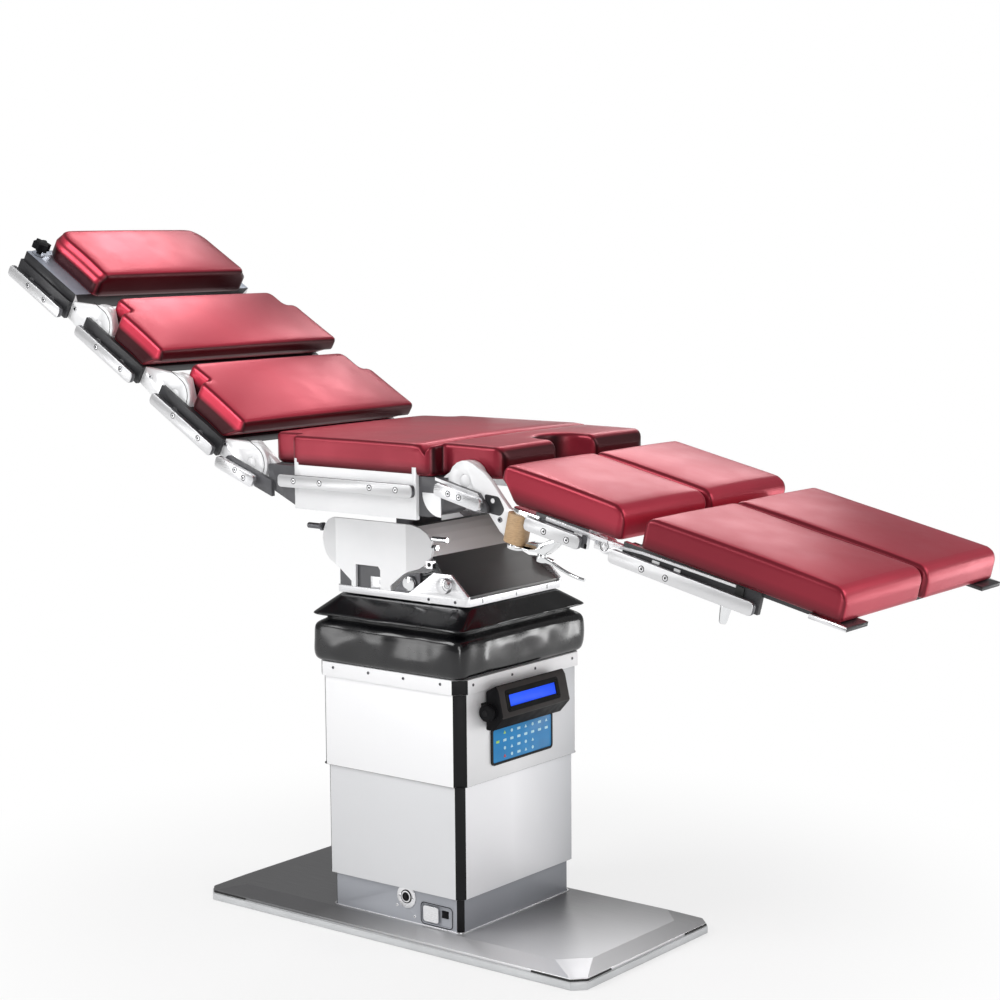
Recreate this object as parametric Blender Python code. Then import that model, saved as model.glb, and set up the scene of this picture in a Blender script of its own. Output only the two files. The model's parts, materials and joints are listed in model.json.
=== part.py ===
"""Electro-hydraulic operating table.

A flat floor plate carries a telescopic column. Its head tilts about two axes and carries a seat, to which two
back sections, a head rest and two split legs are hinged. Metres, +Z up, the feet of the patient towards +X.
"""
import math

import bmesh
import bpy
from mathutils import Matrix, Vector

# Clearances
GAP = 0.0003
RUNNING_GAP = 0.0005
OVERLAP = 0.001
OVERRUN = 0.010

# Floor plate
BASE_HALF_X = 0.493
BASE_HALF_Y = 0.230
BASE_CORNER = 0.023
BASE_SKIRT_HEIGHT = 0.0162
BASE_TOP_Z = 0.0372
COVER_INSET = 0.003
COVER_LIP_HEIGHT = 0.005
COVER_SLOPE_X = 0.036
COVER_SLOPE_Y = 0.0385
PLATEAU_CORNER = 0.052
SKIRT_EDGE = 0.0015

# Column sleeves, the upper one outermost
UPPER_HALF_X = 0.185
UPPER_HALF_Y = 0.1966
UPPER_CORNER = 0.019
MIDDLE_STEP = 0.0070
LOWER_STEP = 0.0092
SLEEVE_CORNER_STEP = 0.004
SLEEVE_WALL = 0.003
LOWER_SLEEVE_TOP = 0.200
MIDDLE_SLEEVE_BOTTOM = 0.1067
MIDDLE_SLEEVE_TOP = 0.404
UPPER_SLEEVE_BOTTOM = 0.3338
UPPER_SLEEVE_TOP = 0.544
GUIDE_GAP = 0.0008
GUIDE_HEIGHT = 0.012
MIDDLE_GUIDE_RISE = 0.068
UPPER_GUIDE_RISE = 0.004

# Clamp frame round the bellows' foot
RIM_HEIGHT = 0.026
RIM_THICKNESS = 0.0060
RIM_LEDGE = 0.0055
RIM_LEDGE_HEIGHT = 0.0025

# Lift cylinder
LIFT_BARREL_RADIUS = 0.090
LIFT_BARREL_WALL = 0.008
LIFT_BARREL_TOP = 0.415
LIFT_FLANGE_RADIUS = 0.125
LIFT_FLANGE_HEIGHT = 0.016
LIFT_PISTON_RADIUS = 0.074
LIFT_PISTON_FOOT_RADIUS = 0.0815
LIFT_PISTON_FOOT_HEIGHT = 0.030
LIFT_PISTON_BOTTOM = 0.318
LIFT_NECK_HEIGHT = 0.012

# Socket, service plate and mains switch on the lower sleeve
SOCKET_X = 0.029
SOCKET_Z = 0.088
SOCKET_RADIUS = 0.0180
SOCKET_WELL_RADIUS = 0.0085
SOCKET_WELL_DEPTH = 0.014
SOCKET_LENGTH = 0.020
SOCKET_FLANGE_RADIUS = 0.024
SOCKET_FLANGE = 0.0015
PANEL_X = 0.1065
PANEL_Z = 0.0625
PANEL_LENGTH = 0.082
PANEL_HEIGHT = 0.045
PANEL_CORNER = 0.008
PANEL_DEPTH = 0.010
PANEL_RECESS = 0.005
PANEL_RIM = 0.003
SWITCH_LENGTH = 0.016
SWITCH_HEIGHT = 0.014
SWITCH_OFFSET_X = 0.018
SWITCH_OFFSET_Z = 0.004
SWITCH_DEPTH = 0.006
SWITCH_PROUD = 0.002

# Display with its tilt bracket
DISPLAY_HALF_WIDTH = 0.111
DISPLAY_Y = -0.019
DISPLAY_AXIS_X = 0.208
DISPLAY_AXIS_Z = 0.478
DISPLAY_BACK = 0.014
DISPLAY_BACK_RISE = 0.038
DISPLAY_RISE = 0.052
DISPLAY_BROW_RISE = 0.042
DISPLAY_DROP = 0.038
DISPLAY_REACH = 0.029
DISPLAY_TOP_REACH = 0.010
DISPLAY_BROW_REACH = 0.017
DISPLAY_FOOT_REACH = 0.004
DISPLAY_CHIN_DROP = 0.010
DISPLAY_EDGE = 0.002
SCREEN_LENGTH = 0.150
SCREEN_HEIGHT = 0.026
SCREEN_OFFSET = -0.005
SCREEN_LIFT = 0.004
SCREEN_DEPTH = 0.003
SCREEN_RECESS = 0.0012
BRACKET_PLATE = 0.0025
BRACKET_EAR = 0.003
BRACKET_EAR_RADIUS = 0.017
BRACKET_HEIGHT = 0.030
DISPLAY_PIN_RADIUS = 0.004
KNOB_RADIUS = 0.017
KNOB_LENGTH = 0.012
KNOB_NECK_RADIUS = 0.008
KNOB_NECK = 0.003

# Membrane keypad
KEYPAD_Y = -0.0035
KEYPAD_Z = 0.399
KEYPAD_LENGTH = 0.200
KEYPAD_HEIGHT = 0.076
KEYPAD_CORNER = 0.010
KEYPAD_THICKNESS = 0.0025

# Bellows between the clamp frame and the head plate
BELLOWS_WALL = 0.0025
BELLOWS_CORNER = 0.018
BELLOWS_BULGE = 0.0115
BELLOWS_WAIST = 0.011
BELLOWS_NECK_HALF_X = 0.166
BELLOWS_NECK_HALF_Y = 0.147
BELLOWS_WAIST_SHARE = BELLOWS_WAIST / BELLOWS_BULGE

# Each pair is a share of the bellows' rise and a share of its bulge
BELLOWS_SHARES = ((0.0, 0.1), (0.07, 0.8), (0.30, 1.0), (0.50, 1.0), (0.56, 0.7), (0.60, 0.0),
                  (0.65, -BELLOWS_WAIST_SHARE), (0.675, -0.35), (0.70, 0.7), (0.715, 1.0), (0.74, 0.85))

# Head plate with its side flanges
HEAD_HALF_X = 0.171
HEAD_HALF_Y = 0.152
HEAD_TOP_Z = 0.697
HEAD_THICKNESS = 0.014
HEAD_CORNER = 0.006
FLANGE_THICKNESS = 0.006
FLANGE_HEIGHT = 0.046
FLANGE_LENGTH = 0.152
FLANGE_TOP_START_SHARE = 0.43
FLANGE_TOP_END_SHARE = 0.72
FLANGE_CAP_RADIUS = 0.0155
FLANGE_CAP_LENGTH = 0.012
FLANGE_CAP_X = 0.116
FLANGE_CAP_RISE = 0.024
FLANGE_LIP_RISE = 0.006

# Tilt cheeks, cross and cover
TILT_X = -0.079
TREND_AXIS_Z = 0.790
LATERAL_AXIS_Z = 0.860
CHEEK_HALF_FACE = 0.093
CHEEK_TOP_Z = 0.834
CHEEK_FOLD_BOTTOM_Z = 0.740
CHEEK_WING_REACH = 0.053
CHEEK_WING_SET_BACK = 0.0195
CHEEK_SHEET = 0.006
CHEEK_FOOT_HALF = 0.052
CHEEK_FOOT_FLARE_Z = 0.708
CHEEK_SLOT_LEFT = 0.040
CHEEK_SLOT_RIGHT = 0.025
CHEEK_SLOT_HEIGHT = 0.046
CHEEK_BOSS_RADIUS = 0.034
CHEEK_BOSS_LENGTH = 0.034
TREND_AXLE_RADIUS = 0.018
TREND_AXLE_DEPTH = 0.030
LATERAL_AXLE_RADIUS = 0.015
CROSS_HALF_X = 0.024
CROSS_HALF_Y = 0.050
CROSS_BOTTOM_Z = 0.765
CROSS_TOP_Z = 0.882
CROSS_EDGE = 0.006
LUG_THICKNESS = 0.014
LUG_HALF_WIDTH = 0.040
LUG_TIP_RADIUS = 0.022
COVER_HALF_Y = 0.145
COVER_SHEET = 0.0025
COVER_SIDE_GAP = 0.002
COVER_WIDENING = 0.035
COVER_FOOT_X = 0.166
COVER_KNEE_X = 0.060
COVER_KNEE_Z = 0.770
COVER_CREST_X = -0.004
COVER_CREST_Z = 0.826
GUSSET_THICKNESS = 0.008
GUSSET_RISE = 0.041
LINK_X = 0.022
LINK_RISE = 0.020
LINK_LEAN = 4.0
LINK_RADIUS = 0.012
LINK_LENGTH = 0.070
LINK_HEAD_RADIUS = 0.0145
LINK_HEAD_LENGTH = 0.008
SLOT_LUG_LENGTH = 0.030
SLOT_LUG_HEIGHT = 0.024

# Layers across the table top, from the rails inwards
RAIL_OUTER_Y = 0.290
RAIL_THICKNESS = 0.010
RAIL_GAP = 0.010
RAIL_HEIGHT = 0.025
RAIL_DROP = 0.025
RAIL_END_RADIUS = 0.008
BEAM_THICKNESS = 0.0095
BEAM_TOP = 0.003
BEAM_BOTTOM = -0.037
CHEEK_THICKNESS = 0.0105
FIXED_CHEEK_THICKNESS = 0.0135
SPACER_RADIUS = 0.009
BOARD_TOP = 0.003
BOARD_THICKNESS = 0.016
CUSHION_TOP = 0.068
BACK_CUSHION_TOP = 0.071
CUSHION_FLOOR = 0.0035

# Section hinges
HINGE_RADIUS = 0.045
HIP_RADIUS = 0.038
HINGE_PIN_RADIUS = 0.012
HINGE_Z = 0.946
BACK_HINGE_X = -0.300
LEG_HINGE_X = 0.252
BACK_SLOPE = 31.0
LEG_SLOPE = 13.0
HINGE_ARM_TOP_SHARE = 0.97
HINGE_ARM_BOTTOM = -0.034
HINGE_SWEEP_GAP = 0.005
BACK_SPACER_SHARES = (0.30, 0.72)

# Seat
SEAT_PANEL_REAR_X = -0.171
SEAT_PANEL_FRONT_X = 0.142
SEAT_PANEL_BOTTOM_Z = 0.865
SEAT_PANEL_TOP_Z = 0.952
SEAT_TAB_HEIGHT = 0.013
SEAT_TAB_LENGTH = 0.010
SEAT_BOARD_REAR_X = -0.252
SEAT_BOARD_FRONT_X = 0.204
SEAT_BLOCK_INNER_Y = 0.180
SEAT_BLOCK_SLOPE_REAR_Z = 0.902
SEAT_BLOCK_REAR_X = -0.250
SEAT_BLOCK_FRONT_X = 0.203
SEAT_BLOCK_FRONT_Z = 0.872
SEAT_RAIL_REAR_X = -0.199
SEAT_RAIL_FRONT_X = 0.148
SEAT_RAIL_SPACER_SHARES = (0.14, 0.34, 0.68, 0.87)
SEAT_CUSHION_REAR_X = -0.262
SEAT_CUSHION_FRONT_X = 0.322
SEAT_CUSHION_HALF_Y = 0.272
SEAT_NOTCH_REAR_X = -0.182
SEAT_NOTCH_FRONT_X = 0.180
SEAT_CUT_HALF_WIDTH = 0.062
SEAT_CUT_DEPTH = 0.085
SHORT_RAIL_LENGTH = 0.110
REAR_SHORT_RAIL_SLOPE = 20.0
REAR_SHORT_RAIL_X = -0.320
REAR_SHORT_RAIL_Z = 0.931
FRONT_SHORT_RAIL_SLOPE = 13.2
FRONT_SHORT_RAIL_X = 0.256
FRONT_SHORT_RAIL_Z = 0.919
BRACKET_BAR_HEIGHT = 0.030
BRACKET_ROOT = 0.015
BRACKET_CHAMFER = 0.020
SHORT_RAIL_SPACER_SHARES = (-0.22, 0.22)

# Lower back
LOWER_LENGTH = 0.251
LOWER_RAIL_START = 0.082
LOWER_RAIL_END = 0.284
LOWER_CUSHION_START = 0.050
LOWER_CUSHION_END = 0.269
LOWER_CUSHION_HALF_Y = 0.2665

# Upper back
UPPER_LENGTH = 0.266
UPPER_RAIL_START = 0.100
UPPER_RAIL_END = 0.296
UPPER_CUSHION_START = 0.066
UPPER_CUSHION_END = 0.274
UPPER_CUSHION_HALF_Y = 0.270

# Head rest
HEAD_RAIL_START = 0.090
HEAD_RAIL_END = 0.273
HEAD_CUSHION_START = 0.074
HEAD_CUSHION_END = 0.270
HEAD_CUSHION_HALF_Y = 0.226
HEAD_CUSHION_REAR_RADIUS = 0.062
HEAD_CUSHION_TOP_SHARE = 0.945
HEAD_CUSHION_TOP = 0.084
HEAD_BLOCK_END = 0.270
HEAD_BLOCK_TOP = 0.022
STAR_X = 0.258
STAR_Y = 0.240
STAR_RADIUS = 0.020
STAR_ROOT_RADIUS = 0.014
STAR_HEIGHT = 0.016
STAR_STEM_RADIUS = 0.006
STAR_STEM_HEIGHT = 0.011
STAR_POINTS = 6
STAR_BOSS_RADIUS = 0.014

# Legs
LEG_PAIR_GAP = 0.006
HIP_POST_X = 0.1426
HIP_POST_Y = 0.262
HIP_POST_RADIUS = 0.009
HIP_CAP_RADIUS = 0.0155
HIP_CAP_TOP = -0.0095
HIP_CAP_THICKNESS = 0.0105
HIP_BUSH_RADIUS = 0.0195
HIP_BUSH_START = 0.120
HIP_BUSH_BOTTOM = -0.0755
HIP_ARM_SLOT = 0.008
HIP_ARM_LOWER_EDGE = ((0.040, -0.030), (0.066, -0.041), (0.099, -0.067))
HIP_ARM_UPPER_EDGE = ((0.111, -0.019), (0.085, -0.001), (0.062, 0.016), (0.040, 0.028))
THIGH_BOARD_START = 0.180
THIGH_BOARD_END = 0.312
THIGH_BOARD_THICKNESS = 0.016
THIGH_RAIL_START = 0.171
THIGH_RAIL_END = 0.297
THIGH_BEAM_END = 0.300
THIGH_CUSHION_START = 0.095
THIGH_CUSHION_END = 0.374
THIGH_CUSHION_OUTER_Y = 0.280
THIGH_CUSHION_FLOOR = 0.0030
THIGH_FLOOR_TILT = 0.0085
THIGH_UNDERCUT = 0.040
THIGH_SPACER_SHARES = (0.30, 0.80)
WEDGE_END = 0.241
WEDGE_THICKNESS = 0.024
WEDGE_SHOULDER_Z = -0.064
WEDGE_WAIST_Z = -0.058
KNEE_X = 0.331
KNEE_Z = -0.022
KNEE_RADIUS = 0.0135
KNEE_PIN_RADIUS = 0.006
KNEE_INNER_LAYER_Y = 0.030
CALF_BOARD_START = 0.404
CALF_BOARD_END = 0.806
CALF_BOARD_BOTTOM = -0.006
CALF_BEAM_START = 0.377
CALF_RAIL_START = 0.362
CALF_RAIL_END = 0.666
CALF_CUSHION_START = 0.418
CALF_CUSHION_END = 0.827
CALF_CUSHION_OUTER_Y = 0.284
CALF_CUSHION_FLOOR = 0.0045
CALF_FOOT_START = 0.769
CALF_FOOT_END = 0.842
CALF_FOOT_WIDTH = 0.070
CALF_FOOT_REACH = 0.003
CALF_FOOT_BOTTOM = -0.004
CALF_BLOCK_X = 0.636
CALF_BLOCK_LENGTH = 0.050
CALF_BLOCK_DROP = 0.030
CALF_SPACER_SHARES = (0.14, 0.52, 0.86)
LOCK_X = 0.590
LOCK_STEM_RADIUS = 0.0055
LOCK_TOP_RADIUS = 0.0115
LOCK_TIP_RADIUS = 0.0070
LOCK_LENGTH = 0.044
LOCK_STEM = 0.020
LOCK_BLOCK_LENGTH = 0.030
LEVER_X = 0.205
LEVER_HUB_TOP = -0.0755
LEVER_HUB_RADIUS = 0.0095
LEVER_HUB_HEIGHT = 0.016
LEVER_LENGTH = 0.100
LEVER_RADIUS = 0.0035
LEVER_DROOP = 0.010
LEVER_JAW_LENGTH = 0.026

# Soft forms: shares of a cushion's length or width
CUSHION_CORNER = 0.012
CUSHION_TOP_EDGE = 0.010
CUSHION_BOTTOM_EDGE = 0.006
CUSHION_CROWN = 0.005
CUSHION_DRAW_IN = 0.0035
STATION_SHARES = (-0.66, 0.0, 0.66)
ROLL_SHARES = (0.45, 0.80, 1.0)
UNDERCUT_SHARE = 0.60
BACK_UNDERCUT = 0.040

ROUND_STEPS = 24
ARC_STEPS = 5

# Derived places
PLATEAU_HALF_X = BASE_HALF_X - COVER_SLOPE_X
PLATEAU_HALF_Y = BASE_HALF_Y - COVER_SLOPE_Y
MIDDLE_HALF_X = UPPER_HALF_X - MIDDLE_STEP
MIDDLE_HALF_Y = UPPER_HALF_Y - MIDDLE_STEP
MIDDLE_CORNER = UPPER_CORNER - SLEEVE_CORNER_STEP
LOWER_HALF_X = MIDDLE_HALF_X - LOWER_STEP
LOWER_HALF_Y = MIDDLE_HALF_Y - LOWER_STEP
LOWER_CORNER = MIDDLE_CORNER - SLEEVE_CORNER_STEP
HEAD_BOTTOM_Z = HEAD_TOP_Z - HEAD_THICKNESS
RAIL_INNER_Y = RAIL_OUTER_Y - RAIL_THICKNESS
BEAM_OUTER_Y = RAIL_INNER_Y - RAIL_GAP
BEAM_INNER_Y = BEAM_OUTER_Y - BEAM_THICKNESS
ARM_OUTER_Y = BEAM_INNER_Y - RUNNING_GAP
ARM_INNER_Y = ARM_OUTER_Y - CHEEK_THICKNESS
FIXED_OUTER_Y = ARM_INNER_Y - RUNNING_GAP
FIXED_INNER_Y = FIXED_OUTER_Y - FIXED_CHEEK_THICKNESS
NOTCH_Y = FIXED_INNER_Y - RUNNING_GAP
BOARD_BOTTOM = BOARD_TOP - BOARD_THICKNESS
SWEEP = HINGE_RADIUS + HINGE_SWEEP_GAP


# Scene helpers

def clear_scene():
    for item in list(bpy.data.objects):
        bpy.data.objects.remove(item, do_unlink=True)


def material(name, colour, roughness, metallic=0.0):
    made = bpy.data.materials.new(name)
    made.use_nodes = True
    shader = made.node_tree.nodes["Principled BSDF"]
    shader.inputs["Base Color"].default_value = (*colour, 1.0)
    shader.inputs["Roughness"].default_value = roughness
    shader.inputs["Metallic"].default_value = metallic
    made.diffuse_color = (*colour, 1.0)
    return made


def pivot(name, place, parent=None, slope=0.0):
    made = bpy.data.objects.new(name, None)
    bpy.context.collection.objects.link(made)
    made.empty_display_size = HINGE_RADIUS
    made.location = place
    made.rotation_euler = (0.0, math.radians(slope), 0.0)
    made.parent = parent
    return made


def add_object(name, shape, look=None, parent=None, place=(0, 0, 0)):
    bmesh.ops.recalc_face_normals(shape, faces=shape.faces)
    mesh = bpy.data.meshes.new(name)
    shape.to_mesh(mesh)
    shape.free()
    mesh.shade_smooth()
    mesh.set_sharp_from_angle(angle=math.radians(32))
    made = bpy.data.objects.new(name, mesh)
    bpy.context.collection.objects.link(made)
    made.location = place
    made.parent = parent
    if look:
        mesh.materials.append(look)
    return made


def combine(target, shape, how):
    """Join, cut or mask an object by another closed shape."""
    tool = add_object(target.name + "_" + how.lower(), shape, parent=target.parent, place=target.location)
    tool.hide_render = True
    tool.display_type = "WIRE"
    step = target.modifiers.new(how.title(), "BOOLEAN")
    step.operation = how
    step.solver = "EXACT"
    step.object = tool


def join(target, shape):
    combine(target, shape, "UNION")


def cut(target, shape):
    combine(target, shape, "DIFFERENCE")


def soften(target, width, steps=1):
    step = target.modifiers.new("Bevel", "BEVEL")
    step.width = width
    step.segments = steps
    step.limit_method = "ANGLE"
    step.angle_limit = math.radians(40)


# Shape helpers, each gives a closed bmesh

def merged(*shapes):
    """Several closed shapes that don't touch, as one tool."""
    whole = bmesh.new()
    for shape in shapes:
        carrier = bpy.data.meshes.new("carrier")
        shape.to_mesh(carrier)
        shape.free()
        whole.from_mesh(carrier)
        bpy.data.meshes.remove(carrier)
    return whole


def extruded(points, direction):
    shape = bmesh.new()
    face = shape.faces.new([shape.verts.new(point) for point in points])
    grown = bmesh.ops.extrude_face_region(shape, geom=[face])
    moved = [item for item in grown["geom"] if isinstance(item, bmesh.types.BMVert)]
    bmesh.ops.translate(shape, verts=moved, vec=direction)
    bmesh.ops.recalc_face_normals(shape, faces=shape.faces)
    return shape


def along_z(outline, low, high):
    return extruded([(x, y, low) for x, y in outline], (0, 0, high - low))


def along_y(outline, low, high):
    return extruded([(x, low, z) for x, z in outline], (0, high - low, 0))


def along_x(outline, low, high):
    return extruded([(low, y, z) for y, z in outline], (high - low, 0, 0))


def block(x0, x1, y0, y1, z0, z1):
    return along_z([(x0, y0), (x1, y0), (x1, y1), (x0, y1)], z0, z1)


def arc(centre, radius, start, end, steps=ARC_STEPS):
    """Points on an arc, angles in degrees."""
    points = []
    for index in range(steps + 1):
        angle = math.radians(start + (end - start) * index / steps)
        points.append((centre[0] + radius * math.cos(angle), centre[1] + radius * math.sin(angle)))
    return points


def circle(centre, radius, steps=ROUND_STEPS):
    return arc(centre, radius, 0, 360 - 360 / steps, steps - 1)


def rounded(half_x, half_y, radius, steps=3, centre=(0, 0)):
    """A rectangle with round corners, anticlockwise."""
    points = []
    for sign_x, sign_y, start in ((1, 1, 0), (-1, 1, 90), (-1, -1, 180), (1, -1, 270)):
        middle = (centre[0] + sign_x * (half_x - radius), centre[1] + sign_y * (half_y - radius))
        points += arc(middle, radius, start, start + 90, steps)
    return points


def chamfered(half_x, half_y, corner):
    """A rectangle with cut corners."""
    points = []
    for sign_x, sign_y in ((1, 1), (-1, 1), (-1, -1), (1, -1)):
        pair = [(sign_x * half_x, sign_y * (half_y - corner)), (sign_x * (half_x - corner), sign_y * half_y)]
        points += pair if sign_x == sign_y else pair[::-1]
    return points


def inset(half_x, half_y, corner, depth):
    """The same cut rectangle, moved inwards by an even depth."""
    return chamfered(half_x - depth, half_y - depth, corner - depth * (2 - math.sqrt(2)))


def rod(axis, centre, radius, low, high, steps=ROUND_STEPS):
    """A round bar along X, Y or Z. Its centre is given in the other two axes."""
    build = {"X": along_x, "Y": along_y, "Z": along_z}[axis]
    return build(circle(centre, radius, steps), low, high)


def turned(profile, centre=(0, 0), steps=ROUND_STEPS):
    """A profile of radius and height, turned round a vertical axis through the centre."""
    rings = []
    shape = bmesh.new()
    for radius, height in profile:
        rings.append([shape.verts.new((x, y, height)) for x, y in circle(centre, radius, steps)])
    link_rings(shape, rings)
    shape.faces.new(rings[0])
    shape.faces.new(rings[-1])
    bmesh.ops.recalc_face_normals(shape, faces=shape.faces)
    return shape


def link_rings(shape, rings, closed=False):
    pairs = list(zip(rings, rings[1:]))
    if closed:
        pairs.append((rings[-1], rings[0]))
    for ring, following in pairs:
        for index in range(len(ring)):
            after = (index + 1) % len(ring)
            shape.faces.new((ring[index], ring[after], following[after], following[index]))


def lofted(outlines, hollow=False):
    """Closed skin through outlines given as (points, height). A hollow one joins its last to its first."""
    shape = bmesh.new()
    rings = []
    for outline, height in outlines:
        rings.append([shape.verts.new((x, y, height)) for x, y in outline])
    link_rings(shape, rings, closed=hollow)
    if not hollow:
        shape.faces.new(rings[0])
        shape.faces.new(rings[-1])
    bmesh.ops.recalc_face_normals(shape, faces=shape.faces)
    return shape


def sloped_bar(centre_x, centre_z, length, height, slope, radius=0.0):
    """The outline in X and Z of a bar that rises by its slope towards -X."""
    points = rounded(length / 2, height / 2, radius) if radius else [
        (-length / 2, -height / 2), (length / 2, -height / 2),
        (length / 2, height / 2), (-length / 2, height / 2)]
    turn = math.radians(-slope)
    turned_points = []
    for x, z in points:
        turned_points.append((centre_x + x * math.cos(turn) - z * math.sin(turn),
                              centre_z + x * math.sin(turn) + z * math.cos(turn)))
    return turned_points


def both_sides(outline, low, high):
    """The same plate on the right and on the left of the table."""
    return merged(along_y(outline, low, high), along_y(outline, -high, -low))


def side_rods(places, radius, low, high, steps=16):
    shapes = []
    for place in places:
        shapes.append(rod("Y", place, radius, low, high, steps))
        shapes.append(rod("Y", place, radius, -high, -low, steps))
    return merged(*shapes)


# Floor plate

def base_frame(look):
    plate = along_z(chamfered(BASE_HALF_X, BASE_HALF_Y, BASE_CORNER), 0, BASE_SKIRT_HEIGHT)
    made = add_object("base_frame", plate, look["grey_paint"])
    soften(made, SKIRT_EDGE)


def base_cover(look):
    low = BASE_SKIRT_HEIGHT + GAP
    lip_x = BASE_HALF_X - COVER_INSET
    lip_y = BASE_HALF_Y - COVER_INSET
    rings = [(chamfered(lip_x, lip_y, BASE_CORNER), low),
             (chamfered(lip_x, lip_y, BASE_CORNER), low + COVER_LIP_HEIGHT),
             (chamfered(PLATEAU_HALF_X, PLATEAU_HALF_Y, PLATEAU_CORNER), BASE_TOP_Z)]
    add_object("base_cover", lofted(rings), look["steel"])


# Column

def sleeve(name, half_x, half_y, corner, low, high, look, guide_rise=None, step=0.0):
    """A chamfered tube. A slide band inside it, at a rise over its foot, centres it on the next sleeve."""
    outer = chamfered(half_x, half_y, corner)
    inner = inset(half_x, half_y, corner, SLEEVE_WALL)
    pad = inset(half_x, half_y, corner, step - GUIDE_GAP)
    rings = [(outer, low), (outer, high), (inner, high), (inner, low)]
    if guide_rise is not None:
        start = low + guide_rise
        end = start + GUIDE_HEIGHT
        rings = [(outer, low), (outer, high), (inner, high), (inner, end), (pad, end), (pad, start),
                 (inner, start), (inner, low)]
    return add_object(name, lofted(rings, hollow=True), look)


def column_sleeves(look):
    made = sleeve("lower_sleeve", LOWER_HALF_X, LOWER_HALF_Y, LOWER_CORNER, BASE_TOP_Z + GAP, LOWER_SLEEVE_TOP,
                  look["brushed"])
    face = -LOWER_HALF_Y
    socket_hole = rod("Y", (SOCKET_X, SOCKET_Z), SOCKET_RADIUS + GAP, face - OVERRUN, face + OVERRUN)
    opening = rounded(PANEL_LENGTH / 2 + GAP, PANEL_HEIGHT / 2 + GAP, PANEL_CORNER, centre=(PANEL_X, PANEL_Z))
    cut(made, merged(socket_hole, along_y(opening, face - OVERRUN, face + OVERRUN)))
    sleeve("middle_sleeve", MIDDLE_HALF_X, MIDDLE_HALF_Y, MIDDLE_CORNER, MIDDLE_SLEEVE_BOTTOM, MIDDLE_SLEEVE_TOP,
           look["brushed"], MIDDLE_GUIDE_RISE, LOWER_STEP)
    sleeve("upper_sleeve", UPPER_HALF_X, UPPER_HALF_Y, UPPER_CORNER, UPPER_SLEEVE_BOTTOM, UPPER_SLEEVE_TOP,
           look["brushed"], UPPER_GUIDE_RISE, MIDDLE_STEP)


def rim_band(look):
    """A band round the upper sleeve with a ledge over its edge."""
    low = UPPER_SLEEVE_TOP - RIM_HEIGHT
    ledge = UPPER_SLEEVE_TOP + GAP
    high = ledge + RIM_LEDGE_HEIGHT
    outer = inset(UPPER_HALF_X, UPPER_HALF_Y, UPPER_CORNER, -RIM_THICKNESS)
    inner = inset(UPPER_HALF_X, UPPER_HALF_Y, UPPER_CORNER, -GAP)
    mouth = inset(UPPER_HALF_X, UPPER_HALF_Y, UPPER_CORNER, RIM_LEDGE)
    rings = [(outer, low), (outer, high), (mouth, high), (mouth, ledge), (inner, ledge), (inner, low)]
    add_object("rim_band", lofted(rings, hollow=True), look["steel"])


def lift_cylinder(look):
    bore = LIFT_BARREL_RADIUS - LIFT_BARREL_WALL
    foot = BASE_TOP_Z + GAP
    flange_top = foot + LIFT_FLANGE_HEIGHT
    profile = [(LIFT_FLANGE_RADIUS, foot), (LIFT_FLANGE_RADIUS, flange_top), (LIFT_BARREL_RADIUS, flange_top),
               (LIFT_BARREL_RADIUS, LIFT_BARREL_TOP), (LIFT_PISTON_RADIUS + GAP, LIFT_BARREL_TOP),
               (LIFT_PISTON_RADIUS + GAP, LIFT_BARREL_TOP - LIFT_NECK_HEIGHT),
               (bore, LIFT_BARREL_TOP - LIFT_NECK_HEIGHT), (bore, flange_top)]
    add_object("lift_cylinder", turned(profile, steps=ROUND_STEPS), look["dark_steel"])


def lift_piston(look):
    foot_top = LIFT_PISTON_BOTTOM + LIFT_PISTON_FOOT_HEIGHT
    profile = [(LIFT_PISTON_FOOT_RADIUS, LIFT_PISTON_BOTTOM), (LIFT_PISTON_FOOT_RADIUS, foot_top),
               (LIFT_PISTON_RADIUS, foot_top), (LIFT_PISTON_RADIUS, HEAD_BOTTOM_Z - GAP)]
    add_object("lift_piston", turned(profile), look["chrome"])


def power_socket(look):
    face = -LOWER_HALF_Y
    flange_low = face - SOCKET_FLANGE
    body = rod("Y", (SOCKET_X, SOCKET_Z), SOCKET_RADIUS, face - GAP - OVERLAP, face + SOCKET_LENGTH)
    made = add_object("power_socket", body, look["steel"])
    join(made, rod("Y", (SOCKET_X, SOCKET_Z), SOCKET_FLANGE_RADIUS, flange_low, face - GAP))
    cut(made, rod("Y", (SOCKET_X, SOCKET_Z), SOCKET_WELL_RADIUS, face - OVERRUN, face + SOCKET_WELL_DEPTH))


def service_panel(look):
    """A plate set back in the sleeve, with a raised rim and a well for the switch."""
    front = -LOWER_HALF_Y
    outline = rounded(PANEL_LENGTH / 2, PANEL_HEIGHT / 2, PANEL_CORNER, centre=(PANEL_X, PANEL_Z))
    made = add_object("service_panel", along_y(outline, front, front + PANEL_DEPTH), look["steel"])
    recess = rounded(PANEL_LENGTH / 2 - PANEL_RIM, PANEL_HEIGHT / 2 - PANEL_RIM, PANEL_CORNER - PANEL_RIM,
                     centre=(PANEL_X, PANEL_Z))
    cut(made, along_y(recess, front - OVERRUN, front + PANEL_RECESS))
    half_x = SWITCH_LENGTH / 2 + RUNNING_GAP
    half_z = SWITCH_HEIGHT / 2 + RUNNING_GAP
    x = PANEL_X + SWITCH_OFFSET_X
    z = PANEL_Z + SWITCH_OFFSET_Z
    cut(made, block(x - half_x, x + half_x, front, front + PANEL_DEPTH + OVERRUN, z - half_z, z + half_z))


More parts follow.
